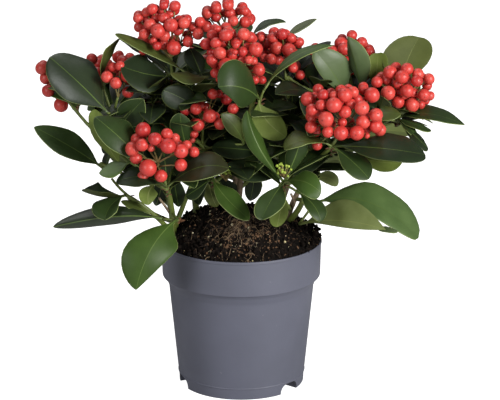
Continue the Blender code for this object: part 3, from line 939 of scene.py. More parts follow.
def leaf_points(base, middle, tip, left, right, point, shoulder, wave):
    """Points of a curved leaf: the upper surface's grid, then the under surface's."""
    rest = 1.0 - LEAF_MIDDLE
    lead = (middle - base * rest ** 2 - tip * LEAF_MIDDLE ** 2) / (2.0 * LEAF_MIDDLE * rest)

    def heading(share):
        return ((lead - base) * (1.0 - share) + (tip - lead) * share).normalized()

    above = []
    beneath = []
    for share in LEAF_ROWS:
        rest = 1.0 - share
        centre = base * rest ** 2 + lead * 2.0 * rest * share + tip * share ** 2
        direction = heading(share)
        turn = heading(LEAF_MIDDLE).rotation_difference(direction)
        outline = leaf_outline(share, point, shoulder)
        stalk = PETIOLE_HALF_WIDTH * rest ** 0.5
        columns = []
        for edge, sign in ((right, -1.0), (left, 1.0)):
            across = edge - middle
            across.rotate(turn)
            half = max(across.length * outline, stalk, LEAF_LEAST_HALF_WIDTH)
            across.normalize()
            normal = direction.cross(across).normalized() * sign
            inner = half - min(LEAF_MARGIN, 0.3 * half)
            rib = min(LEAF_RIB * (1.2 - share), 0.3 * half)
            side = []
            for place in (half, inner, 0.74 * half, 0.40 * half, rib):
                out = place / half
                rise = LEAF_BELLY * half * 4.0 * out * (1.0 - out)
                rise += wave * half * math.sin(share * 15.0 + sign * 1.3) * out ** 3
                side.append((centre + across * place + normal * rise, normal, place == half))
            columns += side if sign < 0.0 else side[::-1]
        for spot, normal, outer in columns:
            thick = LEAF_THICKNESS * (0.45 if outer else 1.0)
            if outline == 0.0:
                thick = stalk * 1.3
            above.append(tuple(spot + normal * thick / 2.0))
            beneath.append(tuple(spot - normal * thick / 2.0))
    return above + beneath


class Foliage:
    """The leaves of one side of the plant, joined."""

    def __init__(self, name, nodes):
        self.joined = Joined(name, LEAF_LOOKS)
        self.nodes = nodes

    def add(self, rng, base, middle, tip, left, right, shade, point, shoulder=LEAF_SHOULDER):
        """Add one leaf."""
        wave = rng.uniform(0.01, 0.05)
        points = leaf_points(base, middle, tip, left, right, point, shoulder, wave)
        upper, under = SHADES[shade]
        looks = {
            "upper": upper, "under": under, "margin": "leaf_margin", "rib": "leaf_rib",
            "keel": "under_rib",
        }
        if shade == "bract":
            looks = dict.fromkeys(looks, "bract")
        elif shade == "dark":
            looks["margin"] = "leaf_olive"
        numbers = {kind: LEAF_LOOKS.index(look) for kind, look in looks.items()}
        self.joined.add(points, LEAF_FACES, [numbers[kind] for kind in LEAF_KINDS])

    def add_by_rule(self, rng, base, tip, width, facing, bow, cup, shade, point=0.70):
        """Add one leaf by its width, the way that it faces, its bow and its cup."""
        middle, left, right = leaf_by_rule(base, tip, width, facing, bow, cup)
        self.add(rng, base, middle, tip, left, right, shade, point)


def leaf_by_rule(base, tip, width, facing, bow, cup):
    """The middle and the two edges of a leaf from base to tip."""
    way = tip - base
    ahead = way.normalized()
    upward = (facing - ahead * facing.dot(ahead)).normalized()
    leftward = upward.cross(ahead) * width / 2.0
    middle = base + way * LEAF_MIDDLE + upward * bow
    lift = upward * cup * width / 2.0
    return middle, middle + leftward + lift, middle - leftward + lift


# The crown's outline in the photograph, which no leaf that grows by rule may pass
CROWN_OUTLINE = (
    (37, 64), (50, 52), (66, 50), (82, 57), (95, 68), (103, 62), (112, 42), (126, 34), (140, 22),
    (150, 8), (180, 6), (190, 24), (204, 12), (228, 4), (246, 12), (256, 28), (276, 22), (300, 34),
    (318, 42), (336, 40), (352, 34), (370, 48), (384, 50), (398, 40), (416, 42), (427, 54), (425, 70),
    (432, 82), (430, 98), (426, 108), (448, 113), (456, 121), (424, 128), (418, 138), (424, 148),
    (414, 157), (382, 168), (360, 174), (340, 172), (320, 190), (292, 202), (262, 204), (240, 192),
    (222, 188), (206, 194), (192, 192), (178, 186), (140, 184), (118, 178), (106, 166), (96, 150),
    (90, 130), (92, 116), (70, 104), (52, 108), (42, 92),
)


def shown_at(place):
    """The photograph's column and row at which a place shows."""
    forward, right, upward = camera_axes()
    way = place - CAMERA_PLACE
    scale = FOCAL_LENGTH_IN_COLUMNS / way.dot(forward)
    return PHOTO_COLUMNS / 2 + way.dot(right) * scale, PHOTO_ROWS / 2 - way.dot(upward) * scale


def in_crown(place):
    """Whether a place shows within the crown's outline and lies within the plant's depth."""
    if place.y > DEEPEST_LEAF or place.z > HIGHEST_LEAF or abs(place.x) > WIDEST_REACH:
        return False
    column, row = shown_at(place)
    inside = False
    for number, (first_column, first_row) in enumerate(CROWN_OUTLINE):
        second_column, second_row = CROWN_OUTLINE[number - 1]
        if (first_row > row) != (second_row > row):
            crossing = (second_column - first_column) * (row - first_row) / (second_row - first_row)
            if column < first_column + crossing:
                inside = not inside
    return inside


# Berries


def berry_template():
    """A berry of radius 1 with a small sunk scar at its top. Returns points, faces and scar flags."""
    deselect()
    bpy.ops.mesh.primitive_uv_sphere_add(segments=BERRY_SIDES, ring_count=BERRY_RINGS, radius=1.0)
    item = bpy.context.object
    bpy.ops.object.mode_set(mode="EDIT")
    bpy.ops.mesh.select_mode(type="FACE")
    mesh = bmesh.from_edit_mesh(item.data)
    for face in mesh.faces:
        face.select = face.calc_center_median().z > 0.96
    mesh.select_flush_mode()
    bmesh.update_edit_mesh(item.data)
    bpy.ops.mesh.inset(thickness=0.19)
    bpy.ops.transform.translate(value=(0.0, 0.0, -0.04))
    bpy.ops.object.mode_set(mode="OBJECT")
    points = np.array([tuple(vertex.co) for vertex in item.data.vertices])
    faces = [tuple(face.vertices) for face in item.data.polygons]
    scars = [face.select for face in item.data.polygons]
    bpy.data.objects.remove(item, do_unlink=True)
    return points, faces, scars


class Head(NamedTuple):
    """A head of berries. Its hub, where the stalks part, is a column, row and depth.

    berries holds the column, row and width of each berry that shows, the nearest first. They lie
    on a dome whose rim is at depth and which swells by bulge. hidden berries fill its far side.
    """

    hub: tuple
    depth: float
    bulge: float
    hidden: int
    berries: tuple


BERRY_LOOKS = ("berry_red", "berry_bright", "berry_deep", "berry_scar", "bud")


def clear_of(placed, spot, radius, closeness):
    """Whether a berry at a spot keeps clear of those placed already."""
    return all((spot - other).length > (radius + wide) * closeness for other, wide in placed)


def shown_berries(head):
    """Place and radius of each berry that the photograph shows in a head."""
    columns = [column for column, _, _ in head.berries]
    rows = [row for _, row, _ in head.berries]
    middle_column = (min(columns) + max(columns)) / 2.0
    middle_row = (min(rows) + max(rows)) / 2.0
    half_columns = (max(columns) - min(columns)) / 2.0 + 3.0
    half_rows = (max(rows) - min(rows)) / 2.0 + 3.0
    placed = []
    for column, row, width in head.berries:
        out = ((column - middle_column) / half_columns) ** 2
        out += ((row - middle_row) / half_rows) ** 2
        swell = head.bulge * math.sqrt(max(0.0, 1.0 - out))
        depth = head.depth - swell
        spot = seen(column, row, depth)
        radius = width / 2.0 / FOCAL_LENGTH_IN_COLUMNS * (spot - CAMERA_PLACE).length
        while not clear_of(placed, spot, radius, 0.96):
            depth += 0.0006
            spot = seen(column, row, depth)
        placed.append((spot, radius))
    return placed


def hide_berries(rng, head, placed):
    """Add the berries of a head's far side, each behind two that show."""
    shown = placed[:]
    wanted = len(shown) + head.hidden
    for _ in range(HIDDEN_BERRY_TRIES):
        if len(placed) == wanted:
            break
        first = rng.choice(shown)[0]
        second = rng.choice(shown)[0]
        if (first - second).length > HEAD_GAP:
            continue
        spot = first.lerp(second, rng.uniform(0.3, 0.7))
        near = len(placed) < len(shown) + HIDDEN_NEAR_SHARE * head.hidden
        back = rng.uniform(*(HIDDEN_NEAR_DEPTHS if near else HIDDEN_FAR_DEPTHS))
        spot.y = max(first.y, second.y) + back
        spot.z -= 0.0 if near else HIDDEN_FAR_DROP * back
        radius = rng.uniform(*HIDDEN_BERRY_RADII)
        if clear_of(placed, spot, radius, 0.92):
            placed.append((spot, radius))


class Fruit:
    """All berries, and all the stalks and twigs that carry them, joined."""

    def __init__(self):
        self.berries = Joined("berries", BERRY_LOOKS)
        self.stalks = Joined("twigs", ["pedicel", "shoot_green", "wood_brown"])
        self.template = berry_template()

    def stalk(self, start, bend, end, start_radius, end_radius, look=0, rings=5, sides=6):
        """Add one curved stalk."""
        path = bent(start, bend, end, rings)
        radii = [
            start_radius + (end_radius - start_radius) * ring / (rings - 1) for ring in range(rings)
        ]
        points, faces = tube(path, radii, sides)
        self.stalks.add([tuple(point) for point in points], faces, [look] * len(faces))

    def berry(self, rng, centre, direction, radius, look):
        """Add one berry whose scar points along a direction."""
        points, faces, scars = self.template
        turn = np.array(direction.to_track_quat("Z", "Y").to_matrix())
        squash = np.array([1.0, 1.0, rng.uniform(0.90, 1.0)])
        placed = (points * squash * radius) @ turn.T + np.array(centre)
        number = BERRY_LOOKS.index(look)
        scar = BERRY_LOOKS.index("berry_scar") if look != "bud" else number
        self.berries.add(placed, faces, [scar if flag else number for flag in scars])

    def carry(self, rng, hub, placed):
        """Give every placed berry its stalk from the hub, in small sprays."""
        order = sorted(placed, key=lambda item: math.atan2(item[0].z - hub.z, item[0].x - hub.x))
        for first in range(0, len(order), STALKS_IN_SPRAY):
            spray = order[first:first + STALKS_IN_SPRAY]
            centre = sum((spot for spot, _ in spray), Vector()) / len(spray)
            fork = hub.lerp(centre, 0.45)
            self.stalk(hub, hub.lerp(fork, 0.5) + Vector((0.0, 0.0, 0.001)), fork, 0.0008, 0.0006)
            for spot, radius in spray:
                outward = (spot - fork).normalized()
                bend = fork.lerp(spot, 0.5) + Vector((0.0, 0.0, 0.0012))
                self.stalk(fork, bend, spot - outward * radius * 0.9, 0.0005, 0.0006, 0, 4, 5)
                chance = rng.random()
                look = "berry_red"
                if chance > 0.55:
                    look = "berry_bright" if chance < 0.80 else "berry_deep"
                stray = Vector((rng.gauss(0, 0.35), rng.gauss(0, 0.35), rng.gauss(0, 0.35)))
                self.berry(rng, spot, (outward + stray).normalized(), radius, look)

    def head(self, rng, node, head):
        """Add a head whose near berries stand where the photograph shows them."""
        hub = seen(*head.hub)
        self.stalk(node, node.lerp(hub, 0.5), hub, TWIG_RADIUS, 0.0010, 1, 6)
        placed = shown_berries(head)
        hide_berries(rng, head, placed)
        self.carry(rng, hub, placed)

    def round_head(self, rng, node, axis, count):
        """Add a domed head by rule, above a node."""
        centre = node + axis * ROUND_HEAD_LIFT
        axis = (centre - node).normalized()
        hub = centre - axis * ROUND_HEAD_HALF_SIZE[2] * 0.6
        self.stalk(node, node.lerp(hub, 0.5), hub, TWIG_RADIUS, 0.0010, 1)
        placed = []
        for attempt in range(ROUND_HEAD_TRIES):
            if len(placed) == count:
                break
            direction = Vector((rng.gauss(0, 1), rng.gauss(0, 1), rng.gauss(0, 1))).normalized()
            if direction.dot(axis) < -0.45:
                continue
            shell = 1.0 if attempt < ROUND_HEAD_SHELL_TRIES else rng.uniform(0.35, 0.75)
            reach = [part * half * shell for part, half in zip(direction, ROUND_HEAD_HALF_SIZE)]
            spot = centre + Vector(reach)
            radius = ROUND_HEAD_BERRY / 2.0 * rng.uniform(0.84, 1.12)
            if clear_of(placed, spot, radius, 0.96):
                placed.append((spot, radius))
        self.carry(rng, hub, placed)


# Shoots


class Shoot(NamedTuple):
    """A leafy shoot: a whorl of leaves about a node, and perhaps a head of berries."""

    mass: str
    node: tuple
    lean: tuple
    filler: int = 0
    sector: tuple = (0.0, 360.0)
    head: Head = None
    leaves: tuple = ()
    # Colours dealt to the leaves by rule; the darker sets that some shoots take paint shade onto leaves deep
    # in the crown
    shades: tuple = ("dark", "deep", "mid")
    length: float = 0.062


SHOOTS = (
    Shoot(
        "foliage_left_front", (167, 187, -0.052), (0.0, -0.1, 1.0), 4, (20.0, 160.0),
        Head((158, 163, -0.054), -0.056, 0.017, 6, (
            (148, 168, 18), (143, 130, 16), (155, 139, 14), (168, 146, 16), (181, 151, 15),
            (142, 145, 13), (167, 134, 12), (181, 165, 13), (132, 149, 15), (161, 176, 13),
            (143, 177, 12), (194, 152, 11), (136, 158, 13), (175, 138, 10), (187, 145, 10),
            (151, 148, 8),
        )),
        (
            Leaf((120, 138, -0.056), (95, 117, -0.048), (109, 148, -0.062), (131, 125, -0.040), "deep",
                 0.62, (151, 169, -0.050)),
            Leaf((104, 138, -0.026), (98, 111, -0.020), (118, 140, -0.030), (89.5, 129, -0.022), "bright",
                 0.6, (124, 168, -0.024)),
            Leaf((141, 177, -0.058), (116, 182, -0.058), (141, 186.5, -0.070), (142, 165, -0.044), "dark"),
            Leaf((201, 167, -0.066), (229, 168.5, -0.066), (203, 152, -0.052), (198, 181, -0.078), "bronze",
                 0.72),
            Leaf((176, 192, -0.026), (179, 207, -0.026), (185, 191, -0.028), (169, 191, -0.024), "dark", 0.7,
                 (172, 166, -0.034)),
            Leaf((160, 193, -0.024), (156, 206, -0.024), (168, 193, -0.026), (153, 190, -0.022), "dark", 0.7,
                 (166, 168, -0.034)),
            Leaf((114, 169, -0.050), (99, 173, -0.052), (115, 177, -0.058), (113, 161.5, -0.042), "fresh",
                 0.75, (130, 162, -0.046)),
            Leaf((148, 195, -0.040), (149, 205, -0.042), (139, 192, -0.040), (158, 194, -0.036), "bright",
                 0.6, (154, 184, -0.040)),
        ),
    ),
    Shoot(
        "foliage_left", (113, 114, -0.004), (0.0, 0.0, 1.0), 4, (20.0, 170.0),
        Head((118, 97, -0.006), -0.006, 0.010, 5, (
            (116, 83, 12), (127, 76, 13), (107, 77, 12), (128, 92, 12), (127, 69, 13), (120, 66, 10),
            (113, 67, 10),
        )),
        (
            Leaf((78, 82, -0.012), (49.5, 57, 0.002), (62, 98, -0.014), (95, 66, 0.008), "gloss", 0.5,
                 (108, 113, -0.022)),
            Leaf((107, 55, 0.004), (120, 38, 0.004), (103, 54, -0.008), (111, 57, 0.014), "olive", 0.8,
                 (101, 82, 0.002)),
            Leaf((130, 114, -0.022), (144, 99, -0.030), (119, 106, -0.020), (141, 124, -0.026), "deep",
                 0.9, (116, 132, -0.014)),
        ),
    ),
    Shoot(
        "foliage_far_left", (75, 103, 0.006), (-0.3, 0.0, 1.0), 5, (60.0, 200.0),
        Head((66, 99, 0.018), 0.022, 0.008, 4, (
            (61, 105, 15), (42, 68, 14), (92, 59, 12), (48, 91, 13), (46, 78, 13), (59, 96, 9),
            (53, 91, 9),
        )),
        (),
        ("dark", "deep", "mid"), 0.040,
    ),
    Shoot(
        "foliage_left_lance", (103, 168, -0.004), (-0.6, 0.0, 0.8), 2, (60.0, 150.0),
        None,
        (Leaf((69, 146, -0.006), (34, 127, -0.006), (62, 156, -0.014), (77, 134, 0.004), "deep", 0.75),),
        ("dark", "deep"), 0.036,
    ),
    Shoot(
        "foliage_low_left", (126, 195, -0.024), (-0.5, -0.1, 0.8), 1, (60.0, 160.0),
        None,
        (
            Leaf((103, 197, -0.032), (82, 191, -0.028), (103, 192, -0.046), (99, 183, -0.016), "dark", 0.7),
            Leaf((110, 207, -0.040), (105, 220, -0.052), (118, 209, -0.048), (94, 203, -0.034), "deep", 0.7),
            Leaf((134, 206, -0.034), (121, 201, -0.030), (132, 210, -0.040), (137, 202, -0.028), "bright",
                 0.7, (150, 214, -0.038)),
        ),
        ("dark", "deep"), 0.036,
    ),
    Shoot(
        "foliage_hanging", (178, 219, -0.050), (0.0, -0.5, 0.8), 0, (0.0, 0.0),
        None,
        (
            Leaf((150, 251, -0.083), (136, 290, -0.090), (177, 250, -0.074), (125, 246, -0.080), "mid",
                 0.80),
            Leaf((110, 217, -0.045), (53, 227, -0.036), (110, 225, -0.038), (108, 205.5, -0.030), "gloss",
                 0.62, (163, 219, -0.048)),
        ),
    ),
    Shoot(
        "foliage_top_left", (172, 76, 0.004), (0.0, 0.0, 1.0), 5, (10.0, 170.0),
        Head((171, 58, 0.002), 0.002, 0.020, 54, (
            (158, 31, 15), (171, 25, 14), (174, 48, 15), (152, 9, 12), (175, 6, 12), (184, 23, 12),
            (150, 24, 12), (198, 34, 12), (188, 42, 11), (144, 34, 11), (164, 18, 12), (164, 5, 10),
            (138, 18, 11), (139, 27, 11), (174, 42, 12), (146, 12, 10), (193, 27, 11), (179, 20, 10),
            (200, 22, 11), (157, 46, 9), (143, 51, 9), (156, 18, 10), (170, 14, 9), (153, 40, 9),
        )),
        (
            Leaf((148, 49, -0.006), (115, 34, -0.012), (145.5, 53.5, -0.013), (150.5, 44.5, 0.001), "olive",
                 0.6, (188, 74, 0.0)),
            Leaf((146, 74, -0.010), (121, 66, -0.014), (146, 93, -0.022), (143, 55, 0.002), "dark", 0.7),
            Leaf((189, 77, -0.026), (170.5, 73, -0.026), (190, 84.5, -0.034), (188, 72, -0.014), "olive", 0.8,
                 (208, 77, -0.016)),
            Leaf((196, 62, 0.004), (190, 48, 0.006), (185, 62, 0.004), (205, 60, 0.010), "dark", 0.7,
                 (203, 79, 0.004)),
        ),
        ("dark", "dark", "deep"),
    ),
    Shoot(
        "foliage_top_centre", (228, 50, 0.034), (0.0, 0.1, 1.0), 5, (20.0, 160.0),
        Head((228, 36, 0.036), 0.034, 0.018, 30, (
            (206, 26, 13), (228, 5, 12), (216, 8, 12), (207, 13, 12), (230, 13, 12), (216, 17, 11),
            (233, 21, 11), (245, 11, 10), (245, 22, 12), (239, 11, 9), (250, 21, 9),
        )),
        (
            Leaf((268, 23.5, 0.046), (286, 22.5, 0.048), (267, 19.5, 0.054), (268, 27, 0.038), "deep", 0.7,
                 (250, 38, 0.036)),
            Leaf((300, 28, 0.034), (317, 19, 0.038), (298, 24, 0.040), (301, 31, 0.028), "bright", 0.8,
                 (284, 38, 0.026)),
        ),
    ),
    Shoot(
        "foliage_centre_front", (259, 99, -0.030), (-0.2, -0.1, 1.0), 0, (60.0, 150.0),
        Head((240, 68, -0.024), -0.022, 0.020, 44, (
            (226, 35, 14), (226, 65, 15), (220, 53, 13), (244, 34, 13), (216, 43, 12), (256, 49, 14),
            (247, 49, 13), (259, 70, 13), (206, 44, 12), (250, 37, 12), (212, 60, 12), (212, 35, 11),
            (215, 73, 10), (211, 52, 9), (217, 29, 9), (232, 33, 9), (249, 60, 9), (220, 79, 9),
            (236, 45, 8), (255, 80, 9), (262, 80, 9), (235, 52, 6),
        )),
        (
            Leaf((240, 87, -0.058), (218, 87, -0.064), (239, 107, -0.054), (238, 60, -0.048), "deep",
                 0.42, (), 0.62),
            Leaf((297, 55.5, -0.026), (333, 45.5, -0.020), (294.5, 51.5, -0.020), (299.5, 59.5, -0.032),
                 "mid", 0.8, (264, 90, -0.030)),
            Leaf((267, 121, -0.034), (286, 137, -0.036), (254, 129, -0.036), (278, 113, -0.030), "bright",
                 0.5),
        ),
    ),
    Shoot(
        "foliage_crown_right", (286, 80, 0.014), (0.0, 0.0, 1.0), 6, (10.0, 170.0),
        Head((284, 65, 0.014), 0.014, 0.016, 24, (
            (289, 50, 14), (277, 48, 13), (282, 34, 12), (273, 38, 12), (291, 38, 11), (299, 42, 11),
            (268, 43, 11), (271, 59, 11), (264, 58, 9), (293, 68, 10), (300, 75, 10), (261, 38, 8),
        )),
        (),
        ("dark", "dark", "deep"),
    ),
    Shoot(
        "foliage_back_right", (352, 92, 0.030), (0.0, 0.0, 1.0), 5, (20.0, 160.0),
        Head((349, 72, 0.042), 0.046, 0.014, 12, (
            (344, 49, 13), (341, 43, 14), (352, 35, 11), (362, 42, 11), (347, 62, 12), (370, 52, 11),
            (332, 51, 11), (326, 49, 9), (351, 72, 7), (321, 49, 7), (311, 54, 8),
        )),
        (
            Leaf((333, 73, 0.004), (315, 51, 0.002), (323, 78.5, 0.000), (350, 63, 0.010), "pale", 0.45,
                 (346, 97, 0.024)),
            Leaf((355.5, 64, 0.002), (347.5, 36.5, 0.006), (349, 62, 0.014), (371, 62, 0.000), "pale", 0.8,
                 (362, 92, 0.022)),
            Leaf((377, 68, 0.018), (378, 53, 0.022), (388, 66, 0.016), (366, 66, 0.018), "bright", 0.5,
                 (374, 92, 0.018)),
        ),
    ),
    Shoot(
        "foliage_right", (397, 118, -0.002), (0.1, 0.0, 1.0), 3, (40.0, 140.0),
        Head((405, 101, -0.002), -0.002, 0.018, 18, (
            (388, 93, 15), (412, 105, 15), (407, 91, 14), (402, 77, 14), (407, 69, 13), (390, 72, 14),
            (424, 95, 13), (417, 81, 12), (398, 102, 13), (377, 82, 12), (387, 80, 11), (418, 74, 12),
            (429, 79, 12), (427, 85, 11), (430, 96, 10), (421, 105, 9), (398, 84, 10), (426, 101, 8),
            (399, 92, 9),
        )),
        (
            Leaf((406, 64, 0.026), (419, 37, 0.034), (429.5, 61, 0.026), (382, 57, 0.020), "olive", 0.5,
                 (399, 96, 0.008)),
            Leaf((430, 114, -0.010), (465, 125, -0.010), (430, 105, 0.008), (427, 120, -0.022), "deep", 0.8),
            Leaf((414, 124, -0.018), (431, 130, -0.018), (414, 121, -0.010), (412, 128, -0.026), "deep"),
            Leaf((410, 129, -0.024), (419.5, 138, -0.026), (413, 126, -0.016), (407, 132, -0.030), "deep"),
            Leaf((417, 138, -0.034), (428, 148, -0.036), (421, 136, -0.028), (414, 143, -0.040), "dark"),
            Leaf((385, 113, -0.030), (401, 114, -0.030), (385, 106, -0.022), (385, 121, -0.036), "olive",
                 0.7, (368, 115, -0.024)),
        ),
    ),
    Shoot(
        "foliage_front_right", (332, 146, -0.052), (0.1, -0.1, 1.0), 3, (20.0, 150.0),
        Head((345, 126, -0.052), -0.054, 0.022, 26, (
            (326, 119, 16), (334, 105, 16), (372, 95, 16), (362, 108, 15), (345, 95, 15), (341, 133, 15),
            (357, 133, 15), (363, 122, 15), (376, 126, 15), (308, 99, 15), (345, 112, 13), (376, 115, 14),
            (350, 104, 12), (353, 92, 12), (380, 130, 13), (312, 110, 13), (311, 127, 13), (328, 132, 12),
            (341, 90, 11), (323, 95, 12), (319, 113, 12), (364, 90, 11), (321, 105, 11), (357, 99, 11),
            (317, 145, 11), (334, 95, 9), (327, 98, 10), (314, 96, 9), (312, 119, 10), (367, 130, 9),
            (316, 127, 10), (367, 136, 6),
        )),
        (
            Leaf((387, 149, -0.070), (425.5, 155, -0.066), (391, 133, -0.048), (384, 161, -0.082), "dark",
                 0.42),
            Leaf((355, 164, -0.068), (369, 179, -0.074), (366, 157, -0.058), (345, 171, -0.074), "deep",
                 0.55),
            Leaf((380, 162, -0.036), (402, 163, -0.036), (382, 172, -0.044), (377, 152, -0.028), "bright",
                 0.8, (350, 155, -0.044)),
            Leaf((304, 140, -0.062), (284, 149, -0.066), (304, 145.5, -0.070), (298, 131, -0.046), "olive",
                 0.6),
            Leaf((310, 163, -0.040), (289, 171, -0.040), (308, 175, -0.046), (312, 151, -0.032), "dark",
                 0.7, (333, 156, -0.042)),
        ),
    ),
    Shoot(
        "foliage_centre_low", (284, 182, -0.050), (0.0, -0.1, 1.0), 3, (20.0, 160.0),
        None,
        (
            Leaf((270, 202, -0.070), (261.5, 220, -0.084), (285.5, 203, -0.072), (257, 200, -0.074), "deep",
                 0.55),
            Leaf((305, 182, -0.072), (321, 193, -0.078), (307, 170.5, -0.062), (303, 194.5, -0.080), "mid",
                 0.42),
            Leaf((314, 206, -0.072), (321, 221.5, -0.078), (324, 204, -0.066), (306, 209, -0.076), "deep",
                 0.55, (296, 191, -0.052)),
            Leaf((328, 178, -0.050), (337, 186, -0.050), (327, 184, -0.054), (331, 171, -0.046), "pale",
                 0.6, (310, 180, -0.048)),
            Leaf((257, 143, -0.060), (247, 110.5, -0.052), (246, 143, -0.058), (263.5, 141, -0.048), "mid",
                 0.75),
            Leaf((296, 155, -0.056), (300, 139, -0.056), (286, 153, -0.050), (306.5, 154, -0.050), "deep",
                 0.6),
            Leaf((280, 213, -0.046), (277, 227, -0.048), (270, 214, -0.046), (288.5, 213, -0.044), "bright",
                 0.6, (285, 194, -0.046)),
        ),
    ),
    Shoot(
        "foliage_right_low", (315, 203, -0.030), (0.6, -0.1, 0.7), 0, (0.0, 0.0),
        None,
        (
            Leaf((373, 204, -0.044), (418.5, 238, -0.042), (380, 185, -0.024), (366, 215, -0.056), "fresh",
                 0.36, (), 0.85),
            Leaf((345, 221, -0.062), (386, 230, -0.074), (345, 228, -0.066), (343, 199, -0.048), "deep",
                 1.05, (299, 224, -0.030)),
            Leaf((386, 229, -0.062), (397, 230.5, -0.062), (387, 226.5, -0.056), (385, 232.5, -0.068),
                 "pale", 0.6, (372, 226, -0.050)),
        ),
    ),
    Shoot(
        "foliage_middle", (212, 178, -0.030), (0.0, -0.1, 1.0), 3, (20.0, 170.0),
        None,
        (
            Leaf((228, 200, -0.054), (249.5, 219.5, -0.066), (238, 192.5, -0.046), (221, 206, -0.060), "mid",
                 0.55),
            Leaf((196, 190, -0.034), (186, 196, -0.036), (198, 198, -0.040), (194, 184, -0.028), "dark"),
            Leaf((198, 189, -0.010), (200, 205, -0.012), (206, 187, -0.014), (190, 188, -0.008), "dark", 0.7,
                 (200, 160, -0.016)),
            Leaf((211, 193, -0.004), (217, 207, -0.006), (203, 194, -0.006), (219, 190, -0.002), "dark",
                 0.6, (205, 162, -0.012)),
            Leaf((226, 190, 0.002), (238, 201, 0.000), (236, 184, 0.000), (217, 196, 0.002), "dark", 0.6,
                 (214, 170, -0.004)),
            Leaf((253, 187, 0.004), (250, 201, 0.002), (262, 187, 0.002), (245, 186, 0.004), "dark", 0.7,
                 (256, 162, 0.002)),
        ),
        ("dark", "deep"), 0.050,
    ),
    Shoot(
        "foliage_centre_left", (202, 146, -0.012), (0.0, -0.1, 1.0), 4, (20.0, 160.0),
        Head((203, 128, -0.014), -0.014, 0.012, 8, (
            (210, 116, 14), (198, 125, 13), (196, 109, 12), (186, 110, 12), (220, 124, 12), (213, 94, 11),
            (201, 106, 11), (233, 109, 11), (219, 94, 9), (194, 134, 9), (191, 105, 9), (192, 140, 7),
        )),
        (
            Leaf((181, 98, -0.022), (163, 90, -0.026), (172, 109, -0.026), (190, 88, -0.018), "dark", 0.55,
                 (202, 112, -0.014)),
            Leaf((182, 129, -0.026), (180, 113, -0.028), (170, 129, -0.026), (193.5, 128, -0.022), "deep",
                 0.6, (187, 148, -0.016)),
            Leaf((234, 126, -0.030), (221, 113.5, -0.032), (228, 132, -0.032), (241, 120, -0.026), "olive",
                 0.8, (244, 144, -0.020)),
            Leaf((237, 149, -0.022), (212, 147, -0.022), (236, 159.5, -0.030), (236, 138, -0.012), "dark",
                 0.6, (264, 152, -0.012)),
            Leaf((253, 172, -0.036), (225, 167, -0.036), (253, 182.5, -0.044), (252, 160, -0.026), "dark",
                 0.6, (283, 176, -0.036)),
        ),
        ("dark", "dark", "deep"),
    ),
)


class Bush(NamedTuple):
    """A leafy shoot that others hide: where its node stands and how many berries it bears."""

    mass: str
    node: tuple
    lean: tuple
    leaves: int
    berries: int = 0
    shades: tuple = ("dark", "deep", "mid", "mid")
    length: float = 0.058


# Darker leaf colours dealt to the shoots hidden inside the crown: painted shade for the crown's shadowed
# inside
INNER_PAINTED_SHADE = ("dark", "dark", "deep")
BUSHES = (
    Bush("foliage_top_left", (152, 100, 0.012), (-0.3, -0.2, 1.0), 9, 0, INNER_PAINTED_SHADE),
    Bush("foliage_left", (128, 128, 0.010), (-0.2, -0.2, 1.0), 8, 0, INNER_PAINTED_SHADE, 0.046),
    Bush("foliage_centre_left", (178, 132, 0.010), (0.0, -0.2, 1.0), 9, 0, INNER_PAINTED_SHADE),
    Bush("foliage_top_left", (196, 96, 0.016), (0.1, -0.2, 1.0), 9, 0, INNER_PAINTED_SHADE),
    Bush("foliage_heart", (232, 118, 0.018), (0.0, -0.2, 1.0), 9, 0, INNER_PAINTED_SHADE),
    Bush("foliage_heart", (270, 140, 0.012), (0.0, -0.2, 1.0), 9, 0, INNER_PAINTED_SHADE),
    Bush("foliage_heart", (292, 116, 0.006), (0.2, -0.2, 1.0), 9, 0, INNER_PAINTED_SHADE),
    Bush("foliage_crown_right", (318, 92, 0.024), (0.2, -0.1, 1.0), 9, 0, INNER_PAINTED_SHADE),
    Bush("foliage_front_right", (324, 134, -0.014), (0.1, -0.2, 1.0), 8, 0, INNER_PAINTED_SHADE),
    Bush("foliage_middle", (178, 164, -0.016), (-0.2, -0.2, 1.0), 8, 0, INNER_PAINTED_SHADE, 0.048),
    Bush("foliage_middle", (232, 164, -0.008), (0.1, -0.2, 1.0), 9, 0, INNER_PAINTED_SHADE, 0.050),
    Bush("foliage_centre_low", (300, 166, -0.014), (0.1, -0.2, 1.0), 8, 0, INNER_PAINTED_SHADE,
         0.046),
    Bush("foliage_right", (376, 116, 0.010), (0.2, 0.1, 1.0), 8, 0, INNER_PAINTED_SHADE, 0.050),
    Bush("foliage_back_left", (128, 100, 0.062), (-0.4, 0.3, 1.0), 9, 24),
    Bush("foliage_back_left", (152, 118, 0.092), (-0.2, 0.8, 0.7), 9, 20),
    Bush("foliage_back_left", (104, 112, 0.070), (-0.9, 0.4, 0.6), 7),
    Bush("foliage_back", (214, 92, 0.090), (-0.2, 0.2, 1.0), 9, 26),
    Bush("foliage_back", (262, 90, 0.092), (0.2, 0.3, 1.0), 9, 24),
    Bush("foliage_back", (236, 128, 0.116), (0.0, 1.0, 0.5), 9, 16),
    Bush("foliage_back_right_low", (322, 104, 0.080), (0.1, 0.3, 1.0), 9, 24),
    Bush("foliage_back_right_low", (372, 106, 0.076), (0.5, 0.3, 0.8), 9, 20),
    Bush("foliage_back_right_low", (346, 132, 0.104), (0.3, 0.9, 0.5), 8, 12),
    Bush("foliage_back_low_left", (172, 152, 0.084), (-0.4, 0.7, 0.6), 9, 14),
    Bush("foliage_back_low_left", (206, 160, 0.080), (0.1, 0.6, 0.8), 8),
    Bush("foliage_back_low_right", (282, 156, 0.108), (0.2, 0.8, 0.6), 9, 16),
    Bush("foliage_back_low_right", (308, 158, 0.088), (0.6, 0.5, 0.6), 8),
)

